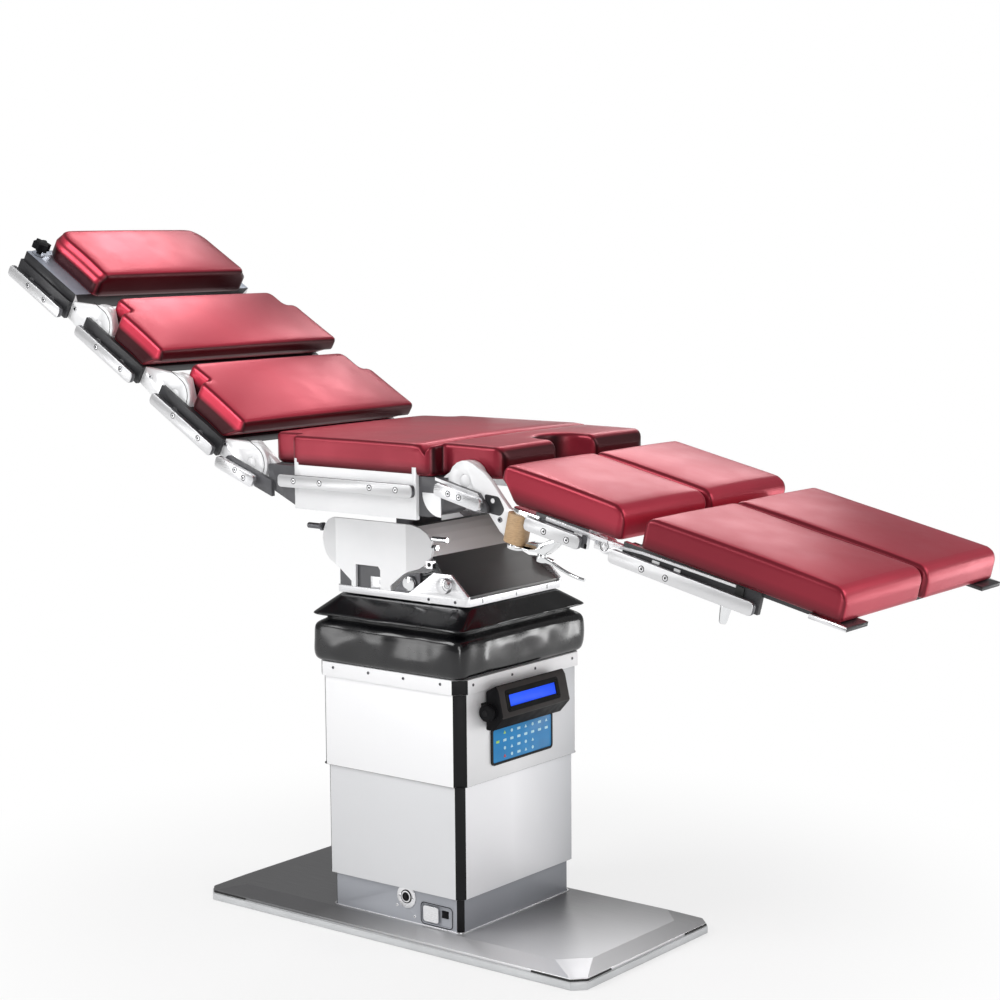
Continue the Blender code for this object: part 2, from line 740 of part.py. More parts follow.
def power_switch(look):
    """A rocker whose face is slightly hollow, pivoted on a line along X."""
    floor_y = -LOWER_HALF_Y + PANEL_RECESS
    half = SWITCH_HEIGHT / 2
    outline = [(half, -SWITCH_PROUD), (0, -SWITCH_PROUD / 2), (-half, -SWITCH_PROUD), (-half, 0),
               (-half / 2, SWITCH_DEPTH), (half / 2, SWITCH_DEPTH), (half, 0)]
    rocker = along_x([(y, z) for z, y in outline], -SWITCH_LENGTH / 2, SWITCH_LENGTH / 2)
    place = (PANEL_X + SWITCH_OFFSET_X, floor_y, PANEL_Z + SWITCH_OFFSET_Z)
    add_object("power_switch", rocker, look["black_plastic"], place=place)


# Display and keypad

def display_parts(look):
    front_foot = (DISPLAY_REACH, -DISPLAY_CHIN_DROP)
    outline = [(-DISPLAY_BACK, -DISPLAY_DROP), (DISPLAY_FOOT_REACH, -DISPLAY_DROP), front_foot,
               (DISPLAY_BROW_REACH, DISPLAY_BROW_RISE), (DISPLAY_TOP_REACH, DISPLAY_RISE),
               (-DISPLAY_BACK, DISPLAY_BACK_RISE)]
    place = (DISPLAY_AXIS_X, DISPLAY_Y, DISPLAY_AXIS_Z)
    housing = add_object("display_housing", along_y(outline, -DISPLAY_HALF_WIDTH, DISPLAY_HALF_WIDTH),
                         look["black_plastic"], place=place)
    soften(housing, DISPLAY_EDGE)
    lean_x = DISPLAY_REACH - DISPLAY_BROW_REACH
    lean_z = DISPLAY_BROW_RISE + DISPLAY_CHIN_DROP
    slant = math.hypot(lean_x, lean_z)
    along = Vector((-lean_x, 0, lean_z)) / slant
    outward = Vector((lean_z, 0, lean_x)) / slant
    middle = Vector((front_foot[0], 0, front_foot[1])) + along * slant / 2
    turn = Matrix((outward, Vector((0, 1, 0)), along)).transposed()

    def slab(extra, depth, proud):
        half_y = SCREEN_LENGTH / 2 + extra
        half_z = SCREEN_HEIGHT / 2 + extra
        shape = block(-depth, proud, SCREEN_OFFSET - half_y, SCREEN_OFFSET + half_y, SCREEN_LIFT - half_z,
                      SCREEN_LIFT + half_z)
        bmesh.ops.transform(shape, matrix=Matrix.Translation(middle) @ turn.to_4x4(), verts=shape.verts)
        return shape

    cut(housing, slab(GAP, SCREEN_RECESS + SCREEN_DEPTH + GAP, OVERRUN))
    add_object("display_screen", slab(0, SCREEN_RECESS + SCREEN_DEPTH, -SCREEN_RECESS), look["screen"],
               place=place)
    pins = side_rods([(0, 0)], DISPLAY_PIN_RADIUS - GAP, DISPLAY_HALF_WIDTH - OVERLAP,
                     DISPLAY_HALF_WIDTH + BRACKET_EAR + GAP)
    join(housing, pins)


def display_bracket(look):
    """A plate on the sleeve with an ear at each end, round about the tilt axis."""
    wall = UPPER_HALF_X + GAP
    ear_inner = DISPLAY_HALF_WIDTH + GAP
    ear_outer = ear_inner + BRACKET_EAR
    half = BRACKET_HEIGHT / 2
    plate = block(wall, wall + BRACKET_PLATE, -ear_outer, ear_outer,
                  DISPLAY_AXIS_Z - half, DISPLAY_AXIS_Z + half)
    made = add_object("display_bracket", plate, look["black_plastic"], place=(0, DISPLAY_Y, 0))
    outline = [(wall, DISPLAY_AXIS_Z - half),
               *arc((DISPLAY_AXIS_X, DISPLAY_AXIS_Z), BRACKET_EAR_RADIUS, -80, 80),
               (wall, DISPLAY_AXIS_Z + half)]
    join(made, both_sides(outline, ear_inner, ear_outer))
    axis = (DISPLAY_AXIS_X, DISPLAY_AXIS_Z)
    cut(made, side_rods([axis], DISPLAY_PIN_RADIUS, ear_inner - OVERRUN / 2, ear_outer + OVERRUN))


def display_knob(look):
    """A turned knob on the right-hand ear."""
    neck_start = DISPLAY_HALF_WIDTH + BRACKET_EAR + GAP * 3
    face = neck_start + KNOB_NECK
    profile = [(KNOB_NECK_RADIUS, neck_start), (KNOB_NECK_RADIUS, face), (KNOB_RADIUS * 0.9, face),
               (KNOB_RADIUS, face + KNOB_LENGTH * 0.15), (KNOB_RADIUS, face + KNOB_LENGTH * 0.8),
               (KNOB_RADIUS * 0.85, face + KNOB_LENGTH)]
    shape = turned(profile)
    bmesh.ops.rotate(shape, cent=(0, 0, 0), matrix=Matrix.Rotation(math.radians(90), 3, "X"), verts=shape.verts)
    add_object("display_knob", shape, look["black_plastic"],
               place=(DISPLAY_AXIS_X, DISPLAY_Y, DISPLAY_AXIS_Z))


def keypad(look):
    face = UPPER_HALF_X + GAP
    outline = rounded(KEYPAD_LENGTH / 2, KEYPAD_HEIGHT / 2, KEYPAD_CORNER, centre=(KEYPAD_Y, KEYPAD_Z))
    add_object("keypad", along_x(outline, face, face + KEYPAD_THICKNESS), look["blue_film"])


# Bellows and head plate

def bellows(look):
    """Two folds of leatherette: a foot, a bulge, a waist, a second bulge and a neck under the head plate."""
    foot = UPPER_SLEEVE_TOP + GAP + RIM_LEDGE_HEIGHT + GAP
    rise = HEAD_BOTTOM_Z - GAP - foot
    profile = [(foot + rise * share, UPPER_HALF_X + BELLOWS_BULGE * out, UPPER_HALF_Y + BELLOWS_BULGE * out)
               for share, out in BELLOWS_SHARES]
    profile.append((foot + rise, BELLOWS_NECK_HALF_X, BELLOWS_NECK_HALF_Y))
    outer = []
    inner = []
    for height, half_x, half_y in profile:
        outer.append((rounded(half_x, half_y, BELLOWS_CORNER, 3), height))
        inner.append((rounded(half_x - BELLOWS_WALL, half_y - BELLOWS_WALL, BELLOWS_CORNER - BELLOWS_WALL, 3),
                      height))
    add_object("bellows", lofted(outer + inner[::-1], hollow=True), look["leatherette"])


def flange_outline(start_x, end_x):
    low = HEAD_TOP_Z - OVERLAP
    high = HEAD_TOP_Z + FLANGE_HEIGHT
    length = end_x - start_x
    return [(start_x, low), (end_x, low), (end_x, HEAD_TOP_Z + FLANGE_LIP_RISE),
            (start_x + length * FLANGE_TOP_END_SHARE, high), (start_x + length * FLANGE_TOP_START_SHARE, high)]


def head_plate(look):
    """The column's top plate, with side flanges, gussets for the cross pin and lugs in the cheeks' slots."""
    plate = along_z(chamfered(HEAD_HALF_X, HEAD_HALF_Y, HEAD_CORNER), HEAD_BOTTOM_Z, HEAD_TOP_Z)
    made = add_object("head_plate", plate, look["steel"])
    outer = HEAD_HALF_Y
    start_x = HEAD_HALF_X - FLANGE_LENGTH
    join(made, both_sides(flange_outline(start_x, HEAD_HALF_X), outer - FLANGE_THICKNESS, outer))
    low = HEAD_TOP_Z - OVERLAP
    pin_z = HEAD_TOP_Z + LINK_RISE
    gusset_outer = outer - CHEEK_SHEET - GAP
    gusset = [(LINK_X - LINK_RADIUS * 4, low), (LINK_X + LINK_RADIUS * 1.5, low),
              (LINK_X + LINK_RADIUS * 1.9, HEAD_TOP_Z + GUSSET_RISE * 0.5),
              (LINK_X + LINK_RADIUS * 1.9, HEAD_TOP_Z + GUSSET_RISE),
              (LINK_X - LINK_RADIUS, HEAD_TOP_Z + GUSSET_RISE * 0.88)]
    join(made, both_sides(gusset, gusset_outer - GUSSET_THICKNESS, gusset_outer))
    cut(made, side_rods([(LINK_X, pin_z)], LINK_RADIUS + GAP * 3, gusset_outer - GUSSET_THICKNESS - OVERRUN,
                        outer + OVERRUN))
    caps = side_rods([(FLANGE_CAP_X, HEAD_TOP_Z + FLANGE_CAP_RISE)], FLANGE_CAP_RADIUS, outer - OVERLAP,
                     outer + FLANGE_CAP_LENGTH)
    join(made, caps)
    lug_x = TILT_X + CHEEK_SLOT_RIGHT - GAP - SLOT_LUG_LENGTH
    lug = [(lug_x, low), (lug_x + SLOT_LUG_LENGTH, low),
           (lug_x + SLOT_LUG_LENGTH, HEAD_TOP_Z + SLOT_LUG_HEIGHT * 0.6),
           (lug_x + SLOT_LUG_LENGTH * 0.8, HEAD_TOP_Z + SLOT_LUG_HEIGHT), (lug_x, HEAD_TOP_Z + SLOT_LUG_HEIGHT)]
    join(made, both_sides(lug, outer - CHEEK_SHEET * 2, outer - CHEEK_SHEET))


def link_pin(look):
    """The screwed cross pin of the tilt linkage, through the right-hand gusset and rising inwards."""
    place = (LINK_X, -(HEAD_HALF_Y - CHEEK_SHEET - GUSSET_THICKNESS / 2), HEAD_TOP_Z + LINK_RISE)
    lean_turn = math.radians(LINK_LEAN)
    start = -GUSSET_THICKNESS / 2 - LINK_HEAD_RADIUS * math.tan(lean_turn) - GAP * 2
    shape = rod("Y", (0, 0), LINK_RADIUS, start, start + LINK_LENGTH)
    tip = rod("Y", (0, 0), LINK_HEAD_RADIUS, start - LINK_HEAD_LENGTH, start)
    lean = Matrix.Rotation(lean_turn, 3, "X")
    for part in (shape, tip):
        bmesh.ops.rotate(part, cent=(0, 0, 0), matrix=lean, verts=part.verts)
    made = add_object("link_pin", shape, look["chrome"], place=place)
    join(made, tip)


# Tilt mechanism

def cheek_outline():
    """The shield outline of a cheek in X and Z, wings and foot included."""
    middle = (CHEEK_TOP_Z + CHEEK_FOLD_BOTTOM_Z) / 2
    high = (CHEEK_TOP_Z - CHEEK_FOLD_BOTTOM_Z) / 2
    half = [(CHEEK_FOOT_HALF, HEAD_TOP_Z + GAP), (CHEEK_FOOT_HALF, CHEEK_FOOT_FLARE_Z),
            (CHEEK_HALF_FACE - CHEEK_WING_SET_BACK / 3, CHEEK_FOLD_BOTTOM_Z - CHEEK_SHEET)]
    for x, z in arc((0, 0), 1, -82, 78, 8):
        half.append((CHEEK_HALF_FACE + CHEEK_WING_REACH * x, middle + high * z))
    half.append((CHEEK_HALF_FACE, CHEEK_TOP_Z))
    right = [(TILT_X + x, z) for x, z in half]
    left = [(TILT_X - x, z) for x, z in reversed(half)]
    return right + left


def tilt_cheek(name, side, look):
    """A bent bearing cheek: a face plate with wings folded back, a slot in its foot and a bearing boss."""
    wing = CHEEK_HALF_FACE + CHEEK_WING_REACH
    back = CHEEK_WING_SET_BACK
    sheet = CHEEK_SHEET
    face = HEAD_HALF_Y
    plan = [(-wing, face - back), (-CHEEK_HALF_FACE, face), (CHEEK_HALF_FACE, face), (wing, face - back),
            (wing, face - back - sheet), (CHEEK_HALF_FACE, face - sheet), (-CHEEK_HALF_FACE, face - sheet),
            (-wing, face - back - sheet)]
    tray = along_z([(TILT_X + x, side * y) for x, y in plan], HEAD_TOP_Z - OVERRUN, CHEEK_TOP_Z + OVERRUN)
    made = add_object(name, tray, look["white_steel"])
    limits = sorted((side * (face - back - sheet - OVERRUN), side * (face + OVERRUN)))
    combine(made, along_y(cheek_outline(), *limits), "INTERSECT")
    axis = (TILT_X, TREND_AXIS_Z)
    boss = sorted((side * (face - CHEEK_BOSS_LENGTH), side * (face - sheet / 2)))
    join(made, rod("Y", axis, CHEEK_BOSS_RADIUS, *boss))
    slot = [(TILT_X - CHEEK_SLOT_LEFT, HEAD_TOP_Z - OVERRUN), (TILT_X + CHEEK_SLOT_RIGHT, HEAD_TOP_Z - OVERRUN),
            (TILT_X + CHEEK_SLOT_RIGHT, HEAD_TOP_Z + CHEEK_SLOT_HEIGHT * 0.85),
            (TILT_X + CHEEK_SLOT_RIGHT * 0.8, HEAD_TOP_Z + CHEEK_SLOT_HEIGHT),
            (TILT_X - CHEEK_SLOT_LEFT, HEAD_TOP_Z + CHEEK_SLOT_HEIGHT)]
    cut(made, along_y(slot, *limits))
    bore = sorted((side * (face - CHEEK_BOSS_LENGTH - OVERRUN), side * (face - sheet)))
    cut(made, rod("Y", axis, TREND_AXLE_RADIUS + GAP, *bore))


def tilt_cross(look):
    """The cross block: a long axle between the cheeks and short axle stubs under the seat."""
    body = block(TILT_X - CROSS_HALF_X, TILT_X + CROSS_HALF_X, -CROSS_HALF_Y, CROSS_HALF_Y, CROSS_BOTTOM_Z,
                 CROSS_TOP_Z)
    made = add_object("tilt_cross", body, look["dark_steel"])
    soften(made, CROSS_EDGE)
    axle_end = HEAD_HALF_Y - CHEEK_BOSS_LENGTH + TREND_AXLE_DEPTH - CHEEK_SHEET
    join(made, rod("Y", (TILT_X, TREND_AXIS_Z), TREND_AXLE_RADIUS, -axle_end, axle_end))
    stub = CROSS_HALF_X + GAP + LUG_THICKNESS
    join(made, rod("X", (0, LATERAL_AXIS_Z), LATERAL_AXLE_RADIUS, TILT_X - stub, TILT_X + stub))


def wedge_cover(look):
    """A sheet cover that slopes up from the head plate's edge and curls over its crest."""
    sheet = COVER_SHEET
    low = HEAD_TOP_Z + GAP
    outer = [(COVER_FOOT_X, low), (COVER_FOOT_X, low + COVER_SHEET * 2)]
    knee = Vector((COVER_KNEE_X, COVER_KNEE_Z))
    crest = Vector((COVER_CREST_X, COVER_CREST_Z))
    start = Vector(outer[-1])
    bend = Vector((COVER_CREST_X + (COVER_KNEE_X - COVER_CREST_X) * 0.30, COVER_CREST_Z))
    for index in range(1, 4):
        outer.append(tuple(start.lerp(knee, index / 3) - Vector((0, 1)) * sheet * math.sin(math.pi * index / 3)))
    for index in range(1, 6):
        share = index / 5
        outer.append(tuple(knee.lerp(bend, share).lerp(bend.lerp(crest, share), share)))
    inner = []
    for index, (x, z) in enumerate(outer):
        before = Vector(outer[max(index - 1, 0)])
        after = Vector(outer[min(index + 1, len(outer) - 1)])
        run = (after - before).normalized()
        inner.append((x + run.y * -sheet, z + run.x * sheet))
    inner[0] = (COVER_FOOT_X - sheet, low)
    inner[1] = (COVER_FOOT_X - sheet, outer[1][1] - sheet / 2)
    made = add_object("wedge_cover", along_y(outer + inner[::-1], -COVER_HALF_Y, COVER_HALF_Y),
                      look["dark_gloss"])
    wing_inner = HEAD_HALF_Y - CHEEK_SHEET - CHEEK_WING_SET_BACK - COVER_SIDE_GAP
    wing_end = TILT_X + CHEEK_HALF_FACE + CHEEK_WING_REACH
    half = [(COVER_CREST_X - OVERRUN, wing_inner), (wing_end, wing_inner),
            (wing_end + COVER_WIDENING, COVER_HALF_Y - GAP), (COVER_FOOT_X + OVERRUN, COVER_HALF_Y - GAP)]
    combine(made, along_z(mirrored_in_y(half), HEAD_TOP_Z - OVERRUN, CHEEK_TOP_Z + OVERRUN), "INTERSECT")


# Table top

def rail(name, parent, side, x_range, look, place_z=-RAIL_DROP):
    """A standard side rail with round ends, standing off the beam on spacers."""
    start, end = sorted(x_range)
    centre = ((start + end) / 2, place_z)
    outline = rounded((end - start) / 2, RAIL_HEIGHT / 2, RAIL_END_RADIUS, 3, centre=centre)
    low, high = sorted((side * RAIL_OUTER_Y, side * (RAIL_INNER_Y + GAP)))
    return add_object(name, along_y(outline, low, high), look["steel"], parent=parent)


def hinge_arm(end):
    """The outline of a moving hinge cheek: round about the axis, running out to the beam."""
    lead = HINGE_RADIUS * HINGE_ARM_TOP_SHARE
    return [*arc((0, 0), HINGE_RADIUS, 80, 270, 10), (end, HINGE_ARM_BOTTOM), (end, BEAM_TOP),
            (end - lead * 0.2, BEAM_TOP)]


def fixed_cheek(out, centre_x, reach, radius):
    """The outline of the fixed cheek that carries a hinge pin, with its foot towards the section."""
    points = [*arc((0, 0), radius, -80, 100, 9), (-reach, BOARD_TOP), (-reach, BOARD_BOTTOM)]
    return [(centre_x + out * x, z) for x, z in points]


def mirrored_in_y(outline):
    return outline + [(x, -y) for x, y in reversed(outline)]


def back_frame(name, parent, start, rail_end, length, look, board_top=BOARD_TOP):
    """A board with side beams, its own hinge cheeks and, if a section follows, cheeks and pins for that one."""
    out = -1
    wide_end = length - SWEEP if length else rail_end
    rear = length + FIXED_CHEEK_THICKNESS if length else rail_end
    half = [(start, BEAM_INNER_Y + OVERLAP), (wide_end, BEAM_INNER_Y + OVERLAP)]
    if length:
        half += [(wide_end, NOTCH_Y + OVERLAP * 2), (rear, NOTCH_Y + OVERLAP * 2)]
    board = along_z([(out * x, y) for x, y in mirrored_in_y(half)], BOARD_BOTTOM, board_top)
    made = add_object(name, board, look["black_frame"], parent=parent)
    beam = [(out * start, BEAM_BOTTOM), (out * rail_end, BEAM_BOTTOM), (out * rail_end, BEAM_TOP),
            (out * start, BEAM_TOP)]
    join(made, both_sides(beam, BEAM_INNER_Y, BEAM_OUTER_Y))
    arm = [(out * x, z) for x, z in hinge_arm(start + OVERRUN)]
    join(made, both_sides(arm, ARM_INNER_Y, ARM_OUTER_Y))
    span = rail_end - start
    spacers = [(out * (start + span * share), -RAIL_DROP) for share in BACK_SPACER_SHARES]
    if length:
        cheek = fixed_cheek(out, out * length, SWEEP, HINGE_RADIUS)
        join(made, both_sides(cheek, FIXED_INNER_Y, FIXED_OUTER_Y))
        join(made, side_rods([(out * length, 0)], HINGE_PIN_RADIUS, FIXED_OUTER_Y - OVERLAP, ARM_OUTER_Y))
    join(made, side_rods(spacers, SPACER_RADIUS, BEAM_OUTER_Y - OVERLAP, RAIL_INNER_Y))
    cut(made, side_rods([(0, 0)], HINGE_PIN_RADIUS + GAP, ARM_INNER_Y - RUNNING_GAP / 2,
                        ARM_OUTER_Y + RUNNING_GAP / 2))
    return made


def softened(points, radii, steps=3):
    """A polygon whose corners are rounded, each by its own radius."""
    outline = []
    count = len(points)
    for index, (corner, radius) in enumerate(zip(points, radii)):
        corner = Vector(corner)
        before = (Vector(points[index - 1]) - corner).normalized()
        after = (Vector(points[(index + 1) % count]) - corner).normalized()
        half = before.angle(after) / 2
        reach = radius / math.tan(half)
        middle = corner + (before + after).normalized() * radius / math.sin(half)
        first = corner + before * reach - middle
        last = corner + after * reach - middle
        whole = first.angle_signed(last)
        for step in range(steps + 1):
            turn = -whole * step / steps
            swung = Vector((first.x * math.cos(turn) - first.y * math.sin(turn),
                            first.x * math.sin(turn) + first.y * math.cos(turn)))
            outline.append(tuple(middle + swung))
    return outline


def shrunk(points, depth):
    """An anticlockwise outline moved inwards by an even depth."""
    moved = []
    count = len(points)
    for index, point in enumerate(points):
        point = Vector(point)
        arriving = (point - Vector(points[index - 1])).normalized()
        leaving = (Vector(points[(index + 1) % count]) - point).normalized()
        normals = Vector((-arriving.y, arriving.x)) + Vector((-leaving.y, leaving.x))
        moved.append(tuple(point + normals * (2 * depth / normals.length_squared)))
    return moved


def cushion(name, parent, outline, z_range, look, undercut=0.0, floor_tilt=0.0, top_share=1.0):
    """A padded block: crowned top, sides drawn in between the corners, rolled edges.

    An undercut moves the lower edge at the section's start inwards. A floor tilt lowers the floor there.
    The top share is the width of the top beside that of the waist.
    """
    low, high = z_range
    roll = CUSHION_TOP_EDGE
    edge = CUSHION_BOTTOM_EDGE
    waist = low + (high - low) * UNDERCUT_SHARE
    upper = [(x, y * top_share) for x, y in outline]
    rings = [(shrunk(outline, edge), low), (outline, low + edge), (outline, waist), (upper, high - roll)]
    for share in ROLL_SHARES:
        angle = share * math.pi / 2
        rings.append((shrunk(upper, roll * (1 - math.cos(angle))), high - roll + roll * math.sin(angle)))
    shape = lofted(rings)
    xs = [x for x, y in outline]
    ys = [y for x, y in outline]
    centre_x = (min(xs) + max(xs)) / 2
    half_x = (max(xs) - min(xs)) / 2
    centre_y = (min(ys) + max(ys)) / 2
    half_y = (max(ys) - min(ys)) / 2
    for share in STATION_SHARES:
        for point, normal in (((centre_x + half_x * share, 0, 0), (1, 0, 0)),
                              ((0, centre_y + half_y * share, 0), (0, 1, 0))):
            geometry = shape.verts[:] + shape.edges[:] + shape.faces[:]
            bmesh.ops.bisect_plane(shape, geom=geometry, plane_co=point, plane_no=normal)
    start_x = min(xs, key=abs)
    for vert in shape.verts:
        across = (vert.co.y - centre_y) / half_y
        lengthwise = (vert.co.x - centre_x) / half_x
        rise = (vert.co.z - low) / (high - low)
        crown = max(0.0, 1 - across ** 2) * max(0.0, 1 - lengthwise ** 2)
        if rise > UNDERCUT_SHARE + OVERLAP:
            vert.co.z -= CUSHION_CROWN * (1 - crown) * (rise - UNDERCUT_SHARE) / (1 - UNDERCUT_SHARE)
        vert.co.y -= math.copysign(CUSHION_DRAW_IN * max(0.0, 1 - lengthwise ** 2) * abs(across), across)
        near = max(0.0, 1 - abs(vert.co.x - start_x) / (half_x * 0.8))
        if undercut and rise < UNDERCUT_SHARE:
            depth = 1 - rise / UNDERCUT_SHARE
            vert.co.x += math.copysign(undercut, centre_x - start_x) * near * depth
        if floor_tilt and rise < UNDERCUT_SHARE:
            vert.co.z -= floor_tilt * max(0.0, 1 - abs(vert.co.x - start_x) / (half_x * 2)) * (1 - rise)
    bmesh.ops.triangulate(shape, faces=[face for face in shape.faces if len(face.verts) > 4])
    return add_object(name, shape, look["vinyl"], parent=parent)


def plan(out, corners):
    """An anticlockwise cushion outline from half of its corners.

    A corner is its place along the section, its half width and its radius.
    """
    near = [((out * x, -y), radius) for x, y, radius in corners]
    far = [((out * x, y), radius) for x, y, radius in reversed(corners)]
    whole = near + far
    if out < 0:
        whole.reverse()
    return softened([point for point, radius in whole], [radius for point, radius in whole])


def back_section(prefix, parent, sizes, look):
    """Frame, rails and cushion of a back section. Its cushion is notched beside the next section's hinges."""
    start, rail_end, length, cushion_start, cushion_end, half_y = sizes
    back_frame(prefix + "_frame", parent, start, rail_end, length, look)
    for side, word in ((-1, "right"), (1, "left")):
        rail(prefix + "_rail_" + word, parent, side, (-start, -rail_end), look)
    notch = length - SWEEP
    outline = plan(-1, [(cushion_start, half_y, CUSHION_CORNER), (notch, half_y, CUSHION_CORNER * 1.5),
                        (notch, NOTCH_Y, CUSHION_CORNER * 0.8), (cushion_end, NOTCH_Y, CUSHION_CORNER * 2)])
    cushion(prefix + "_cushion", parent, outline, (CUSHION_FLOOR, BACK_CUSHION_TOP), look, BACK_UNDERCUT)


# Seat

def seat_frame(look, parent):
    """Board, end blocks, side panels, tilt lugs and the four hinge brackets of the seat."""
    board_low = HINGE_Z + BOARD_BOTTOM
    board_high = HINGE_Z + BOARD_TOP
    cut_x = SEAT_CUSHION_FRONT_X - SEAT_CUT_DEPTH
    board_front = min(SEAT_BOARD_FRONT_X, cut_x - OVERRUN)
    wide = BEAM_INNER_Y + OVERLAP
    half = [(SEAT_BOARD_REAR_X, NOTCH_Y + OVERLAP * 2), (SEAT_PANEL_REAR_X, NOTCH_Y + OVERLAP * 2),
            (SEAT_PANEL_REAR_X, wide), (SEAT_PANEL_FRONT_X, wide),
            (SEAT_PANEL_FRONT_X, NOTCH_Y + OVERLAP * 2), (board_front, NOTCH_Y + OVERLAP * 2)]
    made = add_object("seat_frame", along_z(mirrored_in_y(half), board_low, board_high), look["dark_frame"],
                      parent=parent)
    tab = SEAT_TAB_LENGTH
    top = SEAT_PANEL_TOP_Z
    panel = [(SEAT_PANEL_REAR_X, SEAT_PANEL_BOTTOM_Z), (SEAT_PANEL_FRONT_X, SEAT_PANEL_BOTTOM_Z),
             (SEAT_PANEL_FRONT_X, top + SEAT_TAB_HEIGHT), (SEAT_PANEL_FRONT_X - tab, top + SEAT_TAB_HEIGHT),
             (SEAT_PANEL_FRONT_X - tab, top), (SEAT_PANEL_REAR_X + tab, top),
             (SEAT_PANEL_REAR_X + tab, top + SEAT_TAB_HEIGHT), (SEAT_PANEL_REAR_X, top + SEAT_TAB_HEIGHT)]
    join(made, both_sides(panel, BEAM_INNER_Y, BEAM_OUTER_Y))
    top = board_high - OVERLAP
    rear = [(SEAT_BLOCK_REAR_X, top), (SEAT_BLOCK_REAR_X, SEAT_BLOCK_SLOPE_REAR_Z),
            (SEAT_PANEL_REAR_X + OVERLAP, SEAT_PANEL_BOTTOM_Z + OVERLAP), (SEAT_PANEL_REAR_X + OVERLAP, top)]
    join(made, both_sides(rear, SEAT_BLOCK_INNER_Y, BEAM_INNER_Y + OVERLAP))
    curve = SEAT_BLOCK_FRONT_X - SEAT_PANEL_FRONT_X
    front = [(SEAT_PANEL_FRONT_X - OVERLAP, top), (SEAT_PANEL_FRONT_X - OVERLAP, SEAT_BLOCK_FRONT_Z),
             *arc((SEAT_BLOCK_FRONT_X - curve * 0.6, SEAT_BLOCK_FRONT_Z + curve * 0.6), curve * 0.6, 270, 360),
             (SEAT_BLOCK_FRONT_X, top)]
    join(made, both_sides(front, SEAT_BLOCK_INNER_Y, BEAM_INNER_Y + OVERLAP))
    seat_hinges(made)
    seat_brackets(made)
    lug_low = LATERAL_AXIS_Z
    gap = CROSS_HALF_X + GAP
    lug = [*arc((0, lug_low), LUG_TIP_RADIUS, 180, 360, 8), (LUG_HALF_WIDTH, board_low + OVERLAP),
           (-LUG_HALF_WIDTH, board_low + OVERLAP)]
    near = along_x(lug, TILT_X - gap - LUG_THICKNESS, TILT_X - gap)
    far = along_x(lug, TILT_X + gap, TILT_X + gap + LUG_THICKNESS)
    join(made, merged(near, far))
    reach = gap + LUG_THICKNESS + OVERRUN
    cut(made, rod("X", (0, LATERAL_AXIS_Z), LATERAL_AXLE_RADIUS + GAP, TILT_X - reach, TILT_X + reach))
    length = SEAT_RAIL_FRONT_X - SEAT_RAIL_REAR_X
    spacers = [(SEAT_RAIL_REAR_X + length * share, HINGE_Z - RAIL_DROP) for share in SEAT_RAIL_SPACER_SHARES]
    join(made, side_rods(spacers, SPACER_RADIUS, BEAM_OUTER_Y - OVERLAP, RAIL_INNER_Y))


def seat_hinges(made):
    """Fixed cheeks with their pins at both ends of the seat."""
    for out, hinge_x, board_x, radius in ((-1, BACK_HINGE_X, SEAT_BLOCK_REAR_X, HINGE_RADIUS),
                                          (1, LEG_HINGE_X, SEAT_BLOCK_FRONT_X, HIP_RADIUS)):
        reach = abs(hinge_x - board_x) + OVERRUN
        outline = [(x, HINGE_Z + z) for x, z in fixed_cheek(out, hinge_x, reach, radius)]
        join(made, both_sides(outline, FIXED_INNER_Y, FIXED_OUTER_Y))
        join(made, side_rods([(hinge_x, HINGE_Z)], HINGE_PIN_RADIUS, FIXED_OUTER_Y - OVERLAP, ARM_OUTER_Y))


def seat_brackets(made):
    """Sloping bars outside the hinge cheeks, each with a short rail on spacers."""
    places = ((REAR_SHORT_RAIL_X, REAR_SHORT_RAIL_Z, REAR_SHORT_RAIL_SLOPE, -1, SEAT_BLOCK_REAR_X),
              (FRONT_SHORT_RAIL_X, FRONT_SHORT_RAIL_Z, FRONT_SHORT_RAIL_SLOPE, 1, SEAT_BLOCK_FRONT_X))
    for centre_x, centre_z, slope, out, block_x in places:
        turn = math.radians(slope)
        half = BRACKET_BAR_HEIGHT / 2 / math.cos(turn)
        root = block_x - out * BRACKET_ROOT
        end = centre_x + out * SHORT_RAIL_LENGTH / 2
        outline = []
        for x, rise in ((root, -half), (end, -half), (end, half - BRACKET_CHAMFER),
                        (end - out * BRACKET_CHAMFER, half), (root, half)):
            outline.append((x, centre_z - (x - centre_x) * math.tan(turn) + rise))
        join(made, both_sides(outline, BEAM_INNER_Y, BEAM_OUTER_Y))
        strip = sloped_bar(centre_x, centre_z, SHORT_RAIL_LENGTH, RAIL_HEIGHT, slope, RAIL_END_RADIUS)
        join(made, both_sides(strip, RAIL_INNER_Y, RAIL_OUTER_Y))
        spacers = []
        for share in SHORT_RAIL_SPACER_SHARES:
            step = SHORT_RAIL_LENGTH * share
            spacers.append((centre_x + step * math.cos(turn), centre_z - step * math.sin(turn)))
        join(made, side_rods(spacers, SPACER_RADIUS, BEAM_OUTER_Y - OVERLAP, RAIL_INNER_Y + OVERLAP))


